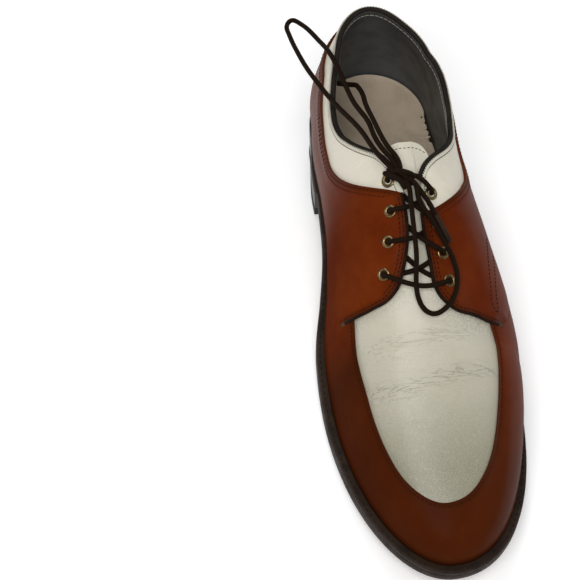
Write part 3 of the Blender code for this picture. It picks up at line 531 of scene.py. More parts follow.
def add_node(tree: Tree, kind: str, settings: dict[str, object] | None = None,
             values: dict[str | int, object] | None = None) -> Node:
    """Add a shader node with its settings and inputs.

    Args:
        tree: The tree that gets the node.
        kind: Blender's name of the node's type, without its first part.
        settings: Properties of the node.
        values: Plain values or other nodes' outputs, by the input's name or number.

    Returns:
        The node.
    """
    node = tree.nodes.new(f"ShaderNode{kind}")
    for name, value in (settings or {}).items():
        setattr(node, name, value)
    for name, value in (values or {}).items():
        feed(tree, node.inputs[name], value)
    return node


def calculate(tree: Tree, operation: str, *terms: Socket | float) -> Socket:
    """Add a sum or other calculation and give its result."""
    return add_node(tree, "Math", {"operation": operation}, dict(enumerate(terms))).outputs[0]


def smooth_mask(tree: Tree, value: Socket, low: Socket | float,
                high: Socket | float, falling: bool = False) -> Socket:
    """Add a smooth step between two values.

    Args:
        tree: The tree that gets the step.
        value: What is compared.
        low: Where the step starts.
        high: Where the step ends.
        falling: True for a step from 1 to 0.

    Returns:
        The step's result.
    """
    first, final = (1.0, 0.0) if falling else (0.0, 1.0)
    values = {"Value": value, "From Min": low, "From Max": high, "To Min": first, "To Max": final}
    return add_node(tree, "MapRange", {"interpolation_type": "SMOOTHSTEP"}, values).outputs["Result"]


class Effects:
    """Node groups that several finishes share."""

    def __init__(self) -> None:
        """Build each group once."""
        self.grain = self.build_grain()
        self.mottle = self.build_mottle()
        self.edge = self.build_edge()
        self.folds = self.build_folds()

    @staticmethod
    def start(name: str, inputs: dict[str, float | None], outputs: Names) -> tuple[Tree, Sockets, Sockets]:
        """Start a group with its sockets.

        Args:
            name: The group's name.
            inputs: Usual value of each input, None for a place.
            outputs: Names of the value outputs.

        Returns:
            The tree, what it is given and what it puts out.
        """
        tree = bpy.data.node_groups.new(name, "ShaderNodeTree")
        for label, value in inputs.items():
            kind = "NodeSocketVector" if value is None else "NodeSocketFloat"
            socket = tree.interface.new_socket(label, in_out="INPUT", socket_type=kind)
            if value is not None:
                socket.default_value = value
        for label in outputs:
            tree.interface.new_socket(label, in_out="OUTPUT", socket_type="NodeSocketFloat")
        return tree, tree.nodes.new("NodeGroupInput").outputs, tree.nodes.new("NodeGroupOutput").inputs

    def build_grain(self) -> Tree:
        """Build leather grain: pebbled cells broken up by noise.

        Returns:
            The group.
        """
        inputs = {"Vector": None, "Cell Scale": 900.0, "Wrinkle Scale": 120.0}
        tree, given, out = self.start("leather_grain", inputs, ("Height", "Pores"))
        place = given["Vector"]
        warp = add_node(tree, "TexNoise", values={"Vector": place, "Scale": 300.0, "Detail": 2.0})
        bent = add_node(tree, "VectorMath", {"operation": "MULTIPLY_ADD"},
                        {0: warp.outputs["Color"], 1: (0.0012, 0.0012, 0.0012), 2: place}).outputs[0]
        cells = add_node(tree, "TexVoronoi", {"feature": "DISTANCE_TO_EDGE"},
                         {"Vector": bent, "Scale": given["Cell Scale"]})
        pebble = smooth_mask(tree, cells.outputs["Distance"], 0.0, 0.22)
        wrinkle = add_node(tree, "TexNoise", values={"Vector": bent, "Scale": given["Wrinkle Scale"],
                                                     "Detail": 6.0, "Roughness": 0.62})
        feed(tree, out["Height"], calculate(tree, "MULTIPLY_ADD", pebble, 0.55, wrinkle.outputs["Fac"]))
        feed(tree, out["Pores"], calculate(tree, "SUBTRACT", 1.0, pebble))
        return tree

    def build_mottle(self) -> Tree:
        """Build a soft patchy mask.

        Returns:
            The group.
        """
        inputs = {"Vector": None, "Scale": 30.0, "From": 0.35, "To": 0.7}
        tree, given, out = self.start("mottle", inputs, ("Mask",))
        noise = add_node(tree, "TexNoise", values={"Vector": given["Vector"], "Scale": given["Scale"],
                                                   "Detail": 5.0, "Roughness": 0.6})
        feed(tree, out["Mask"], smooth_mask(tree, noise.outputs["Fac"], given["From"], given["To"]))
        return tree

    def build_folds(self) -> Tree:
        """Build worn lines: fine folds across the shoe and a net of cracks.

        Returns:
            The group.
        """
        tree, given, out = self.start("worn_lines", {"Vector": None}, ("Lines", "Cracks"))
        stretch = add_node(tree, "Mapping", values={"Vector": given["Vector"], "Scale": (60.0, 430.0, 200.0)})
        noise = add_node(tree, "TexNoise", values={"Vector": stretch.outputs["Vector"], "Scale": 1.0,
                                                   "Detail": 3.0, "Roughness": 0.55, "Distortion": 0.6})
        off = calculate(tree, "ABSOLUTE", calculate(tree, "SUBTRACT", noise.outputs["Fac"], 0.5))
        feed(tree, out["Lines"], smooth_mask(tree, off, 0.0, 0.026, falling=True))
        cells = add_node(tree, "TexVoronoi", {"feature": "DISTANCE_TO_EDGE"},
                         {"Vector": given["Vector"], "Scale": 520.0})
        feed(tree, out["Cracks"], smooth_mask(tree, cells.outputs["Distance"], 0.0, 0.09, falling=True))
        return tree

    def build_edge(self) -> Tree:
        """Build the darkening along a panel's cut edges, from its edge distance in millimetres.

        Returns:
            The group.
        """
        tree, given, out = self.start("edge_shade", {"Distance": 20.0, "Width": 4.0}, ("Mask",))
        feed(tree, out["Mask"], smooth_mask(tree, given["Distance"], 0.0, given["Width"], falling=True))
        return tree


class Sheet:
    """A material's node tree with the few moves that the finishes need."""

    def __init__(self, name: str) -> None:
        """Start a material with its shader and its object coordinates.

        Args:
            name: The material's name.
        """
        self.material = bpy.data.materials.new(name)
        self.material.use_nodes = True
        self.tree = self.material.node_tree
        self.shader = self.tree.nodes["Principled BSDF"]
        self.place = self.node("TexCoord").outputs["Object"]

    def node(self, kind: str, settings: dict[str, object] | None = None,
             values: dict[str | int, object] | None = None) -> Node:
        """Add a node to the material."""
        return add_node(self.tree, kind, settings, values)

    def group(self, tree: Tree, values: dict[str, object]) -> Node:
        """Place a shared effect with its own inputs."""
        return self.node("Group", {"node_tree": tree}, values)

    def patches(self, effects: Effects, scale: float, low: float, high: float) -> Socket:
        """Place the patchy mask, at a scale and between two steps of its noise."""
        values = {"Vector": self.place, "Scale": scale, "From": low, "To": high}
        return self.group(effects.mottle, values).outputs["Mask"]

    def grain(self, effects: Effects, cells: float, wrinkles: float) -> Node:
        """Place the leather grain, at a scale of its cells and of its wrinkles."""
        values = {"Vector": self.place, "Cell Scale": cells, "Wrinkle Scale": wrinkles}
        return self.group(effects.grain, values)

    def attribute(self, name: str) -> Socket:
        """Read a value kept on the mesh."""
        return self.node("Attribute", {"attribute_name": name}).outputs["Fac"]

    def uv(self, scale: Spot) -> Socket:
        """Read the piece's own UV map, scaled."""
        own = self.node("UVMap", {"uv_map": "UVMap"}).outputs["UV"]
        return self.node("Mapping", values={"Vector": own, "Scale": scale}).outputs["Vector"]

    def layers(self, colour: Socket | Colour, *layers: tuple[Socket, Colour, float]) -> Socket:
        """Lay tones over a colour.

        Args:
            colour: The colour below.
            layers: Mask, tone and greatest share of each layer, the lowest first.

        Returns:
            The mixed colour.
        """
        for mask, tone, share in layers:
            below = (*colour, 1.0) if isinstance(colour, tuple) else colour
            strength = calculate(self.tree, "MULTIPLY", mask, share)
            inputs = {0: strength, 6: below, 7: (*tone, 1.0)}
            colour = self.node("Mix", {"data_type": "RGBA"}, inputs).outputs[2]
        return colour

    def spread(self, mask: Socket, low: float, high: float) -> Socket:
        """Map a mask from 0 and 1 to two values."""
        return self.node("MapRange", values={"Value": mask, "To Min": low, "To Max": high}).outputs["Result"]

    def bump(self, height: Socket, depth_mm: float, strength: float = 1.0,
             under: Socket | None = None) -> Socket:
        """Turn a height into a surface direction.

        Args:
            height: Height from 0 to 1.
            depth_mm: Depth that a height of 1 stands for.
            strength: Share of the effect.
            under: A direction that this one is added to.

        Returns:
            The direction's socket.
        """
        values = {"Strength": strength, "Distance": depth_mm * MM, "Height": height}
        if under is not None:
            values["Normal"] = under
        return self.node("Bump", values=values).outputs["Normal"]

    def finish(self, colour: Socket | Colour, roughness: Socket | float,
               normal: Socket | None = None, **others: object) -> Material:
        """Join colour, roughness and direction to the shader and set its other inputs.

        Args:
            colour: Base colour.
            roughness: Roughness.
            normal: Surface direction, if any.
            others: Other inputs, by socket name with underscores.

        Returns:
            The material.
        """
        plain = (*colour, 1.0) if isinstance(colour, tuple) else colour
        inputs = {"base_color": plain, "roughness": roughness, **others}
        if normal is not None:
            inputs["normal"] = normal
        for name, value in inputs.items():
            feed(self.tree, self.shader.inputs[name.replace("_", " ").title().replace("Ior", "IOR")], value)
        return self.material


@dataclass(frozen=True)
class BrownLeather:
    """Polished reddish-brown calf with darker antiqued edges, and painted shade from the mesh's tone."""

    colour: Colour = (0.112, 0.0165, 0.0030)
    warm: Colour = (0.165, 0.0300, 0.0055)
    dark: Colour = (0.034, 0.0088, 0.0026)
    roughness: float = 0.36
    edge_width: float = 5.0

    def build(self, effects: Effects) -> Material:
        """Build the material.

        Args:
            effects: The shared node groups.

        Returns:
            The material.
        """
        sheet = Sheet("brown_leather")
        clouds = sheet.patches(effects, 95.0, 0.45, 0.75)
        edge = sheet.group(effects.edge, {"Width": self.edge_width, "Distance": sheet.attribute("edge")})
        # The tone layer paints shade: towards the toe and on the outer side of the wing, and darker towards
        # the foot.
        colour = sheet.layers(self.colour, (sheet.patches(effects, 22.0, 0.38, 0.68), self.warm, 0.75),
                              (clouds, self.dark, 0.22), (edge.outputs["Mask"], self.dark, 0.55),
                              (sheet.attribute("tone"), self.dark, 0.8))
        roughness = sheet.spread(clouds, self.roughness, self.roughness + 0.12)
        normal = sheet.bump(sheet.grain(effects, 1500.0, 210.0).outputs["Height"], 0.05, 0.55)
        polish = sheet.spread(sheet.attribute("polish"), 0.02, 0.36)
        return sheet.finish(colour, roughness, normal, coat_weight=polish, coat_roughness=0.27,
                            specular_ior_level=0.0)


@dataclass(frozen=True)
class PaleLeather:
    """Off-white pebbled leather with fine cracks, rubbed-in dirt and painted shade in its creases, under the
    facings and towards the toe.
    """

    colour: Colour = (0.66, 0.625, 0.515)
    warm: Colour = (0.56, 0.515, 0.395)
    # The dirt tone also paints shade in the creases and under the facings.
    dirt_and_shade: Colour = (0.27, 0.225, 0.165)
    # Painted shade: the tone that darkens the plug towards the toe.
    plug_toe_shade: Colour = (0.25, 0.235, 0.165)
    fold: Colour = (0.20, 0.195, 0.145)
    roughness: float = 0.45

    def build(self, effects: Effects) -> Material:
        """Build the material.

        Args:
            effects: The shared node groups.

        Returns:
            The material.
        """
        sheet = Sheet("pale_leather")
        patches = sheet.patches(effects, 28.0, 0.4, 0.72)
        grain = sheet.grain(effects, 900.0, 150.0)
        folds = sheet.group(effects.folds, {"Vector": sheet.place})
        worn = calculate(sheet.tree, "MULTIPLY", folds.outputs["Lines"], sheet.attribute("wear"))
        cracked = calculate(sheet.tree, "MULTIPLY", folds.outputs["Cracks"], sheet.attribute("crackle"))
        # Painted shade: one layer darkens the plug towards the toe, and the tone layer paints shade in the
        # creases and under the facings.
        colour = sheet.layers(self.colour, (patches, self.warm, 0.45),
                              (sheet.attribute("plug_toe_shade"), self.plug_toe_shade, 0.9),
                              (grain.outputs["Pores"], self.warm, 0.22),
                              (sheet.patches(effects, 420.0, 0.62, 0.78), self.dirt_and_shade, 0.08),
                              (worn, self.fold, 0.72), (cracked, self.fold, 0.45),
                              (sheet.attribute("tone"), self.dirt_and_shade, 0.85))
        roughness = sheet.spread(patches, self.roughness, self.roughness + 0.1)
        normal = sheet.bump(grain.outputs["Height"], 0.15, 0.8)
        for lines, depth in ((worn, 0.12), (cracked, 0.10)):
            normal = sheet.bump(sheet.spread(lines, 1.0, 0.0), depth, 0.8, normal)
        return sheet.finish(colour, roughness, normal, coat_weight=0.22, coat_roughness=0.22)


@dataclass(frozen=True)
class RibbedLeather:
    """Off-white collar leather with a fine upright grain."""

    colour: Colour = (0.78, 0.735, 0.61)
    shade: Colour = (0.64, 0.595, 0.48)
    dirt_and_shade: Colour = (0.27, 0.225, 0.165)

    def build(self, effects: Effects) -> Material:
        """Build the material.

        Args:
            effects: The shared node groups.

        Returns:
            The material.
        """
        sheet = Sheet("ribbed_leather")
        ribs = sheet.node("TexNoise", values={"Vector": sheet.uv((1.0, 0.07, 1.0)), "Scale": 1300.0,
                                              "Detail": 3.0, "Roughness": 0.6})
        lines = smooth_mask(sheet.tree, ribs.outputs["Fac"], 0.35, 0.62)
        colour = sheet.layers(self.colour, (lines, self.shade, 0.30),
                              (sheet.patches(effects, 40.0, 0.45, 0.8), self.dirt_and_shade, 0.12),
                              (sheet.attribute("tone"), self.dirt_and_shade, 0.8))
        return sheet.finish(colour, 0.5, sheet.bump(lines, 0.05, 0.6), coat_weight=0.05, coat_roughness=0.3)


@dataclass(frozen=True)
class PlainFinish:
    """A finish of two tones with a noise relief, for lining, sock, sole, thread and rubber."""

    name: str
    colour: Colour
    second: Colour
    roughness: float
    scale: float
    relief_mm: float
    coat: float = 0.0
    specular: float = 0.5

    def build(self, effects: Effects) -> Material:
        """Build the material.

        Args:
            effects: The shared node groups.

        Returns:
            The material.
        """
        sheet = Sheet(self.name)
        patches = sheet.patches(effects, self.scale, 0.36, 0.7)
        grain = sheet.grain(effects, self.scale * 12.0, self.scale * 4.0)
        colour = sheet.layers(self.colour, (patches, self.second, 1.0))
        roughness = sheet.spread(patches, self.roughness, min(self.roughness + 0.15, 1.0))
        normal = sheet.bump(grain.outputs["Height"], self.relief_mm, 0.8)
        return sheet.finish(colour, roughness, normal, coat_weight=self.coat, coat_roughness=0.25,
                            specular_ior_level=self.specular)


@dataclass(frozen=True)
class Brass:
    """Dull brass with patches of brown tarnish."""

    colour: Colour = (0.30, 0.225, 0.105)
    tarnish: Colour = (0.06, 0.040, 0.020)

    def build(self, effects: Effects) -> Material:
        """Build the material.

        Args:
            effects: The shared node groups.

        Returns:
            The material.
        """
        sheet = Sheet("brass")
        patches = sheet.patches(effects, 600.0, 0.42, 0.68)
        colour = sheet.layers(self.colour, (patches, self.tarnish, 0.6))
        roughness = sheet.spread(patches, 0.28, 0.55)
        return sheet.finish(colour, roughness, sheet.bump(patches, 0.04, 0.6), metallic=1.0)


@dataclass(frozen=True)
class LaceCord:
    """Dark waxed cotton braid, with slanting strands round the cord."""

    colour: Colour = (0.0185, 0.0086, 0.0034)
    groove: Colour = (0.004, 0.0025, 0.0018)
    turns: float = 5.0
    strands_per_metre: float = 640.0

    def build(self) -> Material:
        """Build the material.

        Returns:
            The material.
        """
        sheet = Sheet("lace")
        heights = []
        for slant in (1.0, -1.0):
            place = sheet.uv((self.turns, slant * self.strands_per_metre, 1.0))
            split = sheet.node("SeparateXYZ", values={"Vector": place})
            total = calculate(sheet.tree, "ADD", split.outputs["X"], split.outputs["Y"])
            angle = calculate(sheet.tree, "MULTIPLY", total, 2 * math.pi)
            heights.append(calculate(sheet.tree, "SINE", angle))
        weave = calculate(sheet.tree, "MAXIMUM", *heights)
        values = {"Value": weave, "From Min": -0.6, "From Max": 1.0}
        mask = sheet.node("MapRange", values=values).outputs["Result"]
        # The grooves between the strands take the darker colour: painted shade.
        colour = sheet.layers(self.groove, (mask, self.colour, 1.0))
        return sheet.finish(colour, 0.65, sheet.bump(mask, 0.25, 0.9), specular_ior_level=0.06)


PLAIN_FINISHES = (
    PlainFinish("raw_edge", (0.030, 0.012, 0.007), (0.014, 0.007, 0.005), 0.6, 160.0, 0.1),
    PlainFinish("edge_paint_and_shadow", (0.011, 0.005, 0.0025), (0.022, 0.009, 0.0045), 0.6, 160.0, 0.1, 0.0, 0.06),
    PlainFinish("aglet", (0.026, 0.013, 0.006), (0.016, 0.008, 0.004), 0.5, 200.0, 0.05, 0.02, 0.1),
    PlainFinish("lining", (0.066, 0.070, 0.071), (0.048, 0.051, 0.052), 0.45, 70.0, 0.08, 0.03),
    PlainFinish("binding", (0.012, 0.010, 0.008), (0.022, 0.018, 0.014), 0.65, 120.0, 0.08, 0.0, 0.08),
    PlainFinish("sock", (0.49, 0.395, 0.29), (0.37, 0.295, 0.21), 0.55, 45.0, 0.08),
    PlainFinish("sole_leather", (0.034, 0.020, 0.013), (0.016, 0.010, 0.007), 0.5, 110.0, 0.18, 0.03, 0.15),
    PlainFinish("tread", (0.20, 0.125, 0.070), (0.12, 0.075, 0.042), 0.7, 60.0, 0.2),
    PlainFinish("heel_stack", (0.018, 0.014, 0.012), (0.034, 0.026, 0.021), 0.35, 120.0, 0.12, 0.2),
    PlainFinish("rubber", (0.014, 0.014, 0.014), (0.024, 0.023, 0.022), 0.75, 200.0, 0.15),
    PlainFinish("thread", (0.014, 0.0055, 0.003), (0.026, 0.010, 0.005), 0.8, 900.0, 0.05, 0.0, 0.05),
    PlainFinish("brown_thread", (0.048, 0.010, 0.003), (0.030, 0.007, 0.003), 0.8, 900.0, 0.05, 0.0, 0.05),
    PlainFinish("dark_thread", (0.009, 0.0065, 0.005), (0.018, 0.012, 0.009), 0.8, 900.0, 0.05, 0.0, 0.05),
    PlainFinish("welt_thread", (0.026, 0.017, 0.012), (0.016, 0.010, 0.007), 0.8, 900.0, 0.05, 0.0, 0.1),
    PlainFinish("tack_thread", (0.12, 0.055, 0.026), (0.06, 0.028, 0.014), 0.8, 900.0, 0.05, 0.0, 0.1),
    PlainFinish("pale_thread", (0.50, 0.47, 0.40), (0.36, 0.33, 0.27), 0.7, 900.0, 0.05),
)


class Finishes:
    """Every material of the shoe, built once."""

    def __init__(self) -> None:
        """Build the shared effects and the materials."""
        effects = Effects()
        self.brown = BrownLeather().build(effects)
        self.pale = PaleLeather().build(effects)
        self.ribbed = RibbedLeather().build(effects)
        self.plain = {finish.name: finish.build(effects) for finish in PLAIN_FINISHES}
        self.brass = Brass().build(effects)
        self.lace = LaceCord().build()


def deselect() -> None:
    """Leave object mode with nothing selected."""
    if bpy.context.object and bpy.context.object.mode != "OBJECT":
        bpy.ops.object.mode_set(mode="OBJECT")
    bpy.ops.object.select_all(action="DESELECT")


def activate(piece: Piece) -> None:
    """Make a piece the only selected one.

    Args:
        piece: The piece.
    """
    deselect()
    piece.select_set(True)
    bpy.context.view_layer.objects.active = piece


def apply_modifier(piece: Piece, kind: str, **settings: object) -> None:
    """Add a modifier with its settings and apply it.

    Args:
        piece: The piece that it shapes.
        kind: Blender's name of the modifier's type.
        settings: The modifier's properties.
    """
    activate(piece)
    modifier = piece.modifiers.new(kind.lower(), kind)
    for name, value in settings.items():
        setattr(modifier, name, value)
    bpy.ops.object.modifier_apply(modifier=modifier.name)


def smooth(piece: Piece, degrees: float = 45.0) -> None:
    """Shade a piece smooth, up to an angle."""
    activate(piece)
    bpy.ops.object.shade_smooth_by_angle(angle=math.radians(degrees))


def grid_piece(name: str, points: Points) -> Piece:
    """Add a grid and put its vertices on a surface.

    Args:
        name: The piece's name.
        points: Millimetre points, by row and column.

    Returns:
        The piece, at the origin.
    """
    rows, columns = points.shape[:2]
    deselect()
    bpy.ops.mesh.primitive_grid_add(x_subdivisions=columns - 1, y_subdivisions=rows - 1, size=1.0)
    piece = bpy.context.object
    piece.name = name
    piece.data.name = name
    piece.data.vertices.foreach_set("co", (points.reshape(-1, 3) * MM).astype(np.float32).ravel())
    piece.data.update()
    return piece


def edit(piece: Piece, merge_mm: float = 0.0, flip: bool = False, outwards: bool = False) -> None:
    """Merge doubles and set the faces' directions in edit mode.

    Args:
        piece: The piece.
        merge_mm: Distance under which vertices are joined, or 0.
        flip: True to turn every face.
        outwards: True to recalculate a closed shell's directions.
    """
    activate(piece)
    bpy.ops.object.mode_set(mode="EDIT")
    bpy.ops.mesh.select_all(action="SELECT")
    if merge_mm:
        bpy.ops.mesh.remove_doubles(threshold=merge_mm * MM)
    if flip:
        bpy.ops.mesh.flip_normals()
    if outwards:
        bpy.ops.mesh.normals_make_consistent(inside=False)
    bpy.ops.object.mode_set(mode="OBJECT")


def mesh_piece(name: str, points: Points, faces: Faces) -> Piece:
    """Make a piece from arrays, for what repeats many times and for cords.

    Args:
        name: The piece's name.
        points: Millimetre points.
        faces: Vertex numbers of each face.

    Returns:
        The piece.
    """
    mesh = bpy.data.meshes.new(name)
    mesh.from_pydata((np.asarray(points) * MM).tolist(), [], [tuple(face) for face in faces])
    mesh.update()
    piece = bpy.data.objects.new(name, mesh)
    bpy.context.scene.collection.objects.link(piece)
    return piece


def set_values(piece: Piece, name: str, values: Points) -> None:
    """Keep a value for each vertex on the mesh."""
    attribute = piece.data.attributes.new(name, "FLOAT", "POINT")
    attribute.data.foreach_set("value", np.asarray(values, np.float32).ravel())


def set_uv(piece: Piece, uv: Points) -> None:
    """Give each vertex its own place on the UV map.

    Args:
        piece: The piece.
        uv: Points in metres.
    """
    layer = piece.data.uv_layers.get("UVMap") or piece.data.uv_layers.new(name="UVMap")
    corners = np.empty(len(piece.data.loops), np.int32)
    piece.data.loops.foreach_get("vertex_index", corners)
    layer.data.foreach_set("uv", np.asarray(uv, np.float32)[corners].ravel())


def thicken(piece: Piece, thickness: float, rim: int = 0) -> None:
    """Give a sheet its thickness inwards and shade it smooth.

    Args:
        piece: The sheet.
        thickness: Thickness in millimetres.
        rim: How many materials further the rim's own one is.
    """
    apply_modifier(piece, "SOLIDIFY", thickness=thickness * MM, offset=-1.0, use_rim=True,
                   material_offset_rim=rim)
    smooth(piece)


def dress(piece: Piece, materials: list[Material], replaces: Names = ()) -> Piece:
    """Give a piece its materials and its body.

    Args:
        piece: The piece.
        materials: The piece's materials, the face of the piece first.
        replaces: CAD nodes that the piece stands for.

    Returns:
        The piece.
    """
    piece.data.materials.clear()
    for material in materials:
        piece.data.materials.append(material)
    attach(piece, BODY)
    if replaces:
        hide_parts(*replaces)
    LOG.info("%s: %d faces", piece.name, len(piece.data.polygons))
    return piece


def distances(points: Points, edges: list[Points]) -> Points:
    """Give each point's distance to the nearest of some lines.

    Args:
        points: Millimetre points.
        edges: Points of each line, close together.

    Returns:
        Distances in millimetres.
    """
    lines = np.concatenate(edges)
    tree = KDTree(len(lines))
    for index, place in enumerate(lines):
        tree.insert(Vector(place), index)
    tree.balance()
    found = [tree.find(Vector(point))[2] for point in points.reshape(-1, 3)]
    return np.array(found).reshape(points.shape[:-1])


def ramp(value: Points, low: float, high: float) -> Points:
    """Give a smooth step from 0 at low to 1 at high."""
    t = np.clip((value - low) / (high - low), 0.0, 1.0)
    return t * t * (3 - 2 * t)


def with_edges(count: int, fine: float = 0.004) -> Points:
    """Give shares from 0 to 1, with a few close ones at both ends for rounded edges.

    Args:
        count: Number of even shares.
        fine: Size of the close steps.

    Returns:
        The shares.
    """
    ends = np.array((0.0, fine * 0.4, fine))
    inner = np.linspace(0.0, 1.0, count)[1:-1] * (1 - 4 * fine) + 2 * fine
    return np.concatenate((ends, inner, 1 - ends[::-1]))


@dataclass(frozen=True)
class Crease:
    """A walking crease: a soft trough with a ridge on each side, set in stations and sides."""

    line: Table
    depth: float
    width: float

    def lift(self, station: Points, x: Points) -> Points:
        """Give how far the crease moves the leather in or out.

        Args:
            station: Stations of the points.
            x: Sides of the points on the last.

        Returns:
            Lifts in millimetres.
        """
        line = smooth_line(np.array(self.line), 1.0)
        shares = np.linspace(0.0, 1.0, len(line))
        across = np.interp(x, line[:, 1], line[:, 0])
        share = np.interp(x, line[:, 1], shares)
        inside = ramp(share, 0.0, 0.18) * (1 - ramp(share, 0.82, 1.0))
        inside = inside * ((x > line[0, 1]) & (x < line[-1, 1]))
        off = (station - across) / self.width
        return self.depth * inside * (0.55 * np.exp(-((off - 1.9) / 1.1) ** 2)
                                      + 0.55 * np.exp(-((off + 1.9) / 1.1) ** 2) - np.exp(-off ** 2))


CREASES = (
    Crease(((189.0, -34.0), (191.5, -22.0), (191.0, -11.0), (190.0, 5.0), (186.3, 27.0)), 0.17, 2.0),
    Crease(((196.0, -30.0), (197.5, -18.0), (195.5, -4.0)), 0.08, 1.4),
    Crease(((206.5, -36.0), (214.0, -17.0), (210.0, 1.0), (205.6, 35.0)), 0.26, 1.6),
    Crease(((210.0, -37.0), (217.0, -20.0), (214.0, -6.0)), 0.16, 1.1),
    Crease(((225.0, -28.0), (230.0, -10.0), (230.5, 9.0), (226.0, 24.0)), 0.06, 3.0),
)


def crease_wear(last: Last, points: Points) -> Points:
    """Give how worn the pale leather is by walking round the crease lines.

    Args:
        last: The form under the leather.
        points: Points of the leather.

    Returns:
        Wear from 0 to 1.
    """
    station, x = last.centre_station - points[..., 1], points[..., 0] + last.centre_x
    worn = np.zeros(station.shape)
    for crease in CREASES:
        line = smooth_line(np.array(crease.line), 1.0)
        off = (station - np.interp(x, line[:, 1], line[:, 0])) / (2.6 * crease.width)
        start, final = line[0, 1], line[-1, 1]
        inside = ramp(x, start - 4.0, start + 4.0) * (1 - ramp(x, final - 6.0, final + 6.0))
        worn = np.maximum(worn, inside * np.exp(-off ** 2) * min(3.6 * crease.depth, 1.0))
    return worn


def crease_lift(last: Last, points: Points) -> Points:
    """Give the lift of all creases at points of the leather."""
    station, x = last.centre_station - points[..., 1], points[..., 0] + last.centre_x
    return sum(crease.lift(station, x) for crease in CREASES)


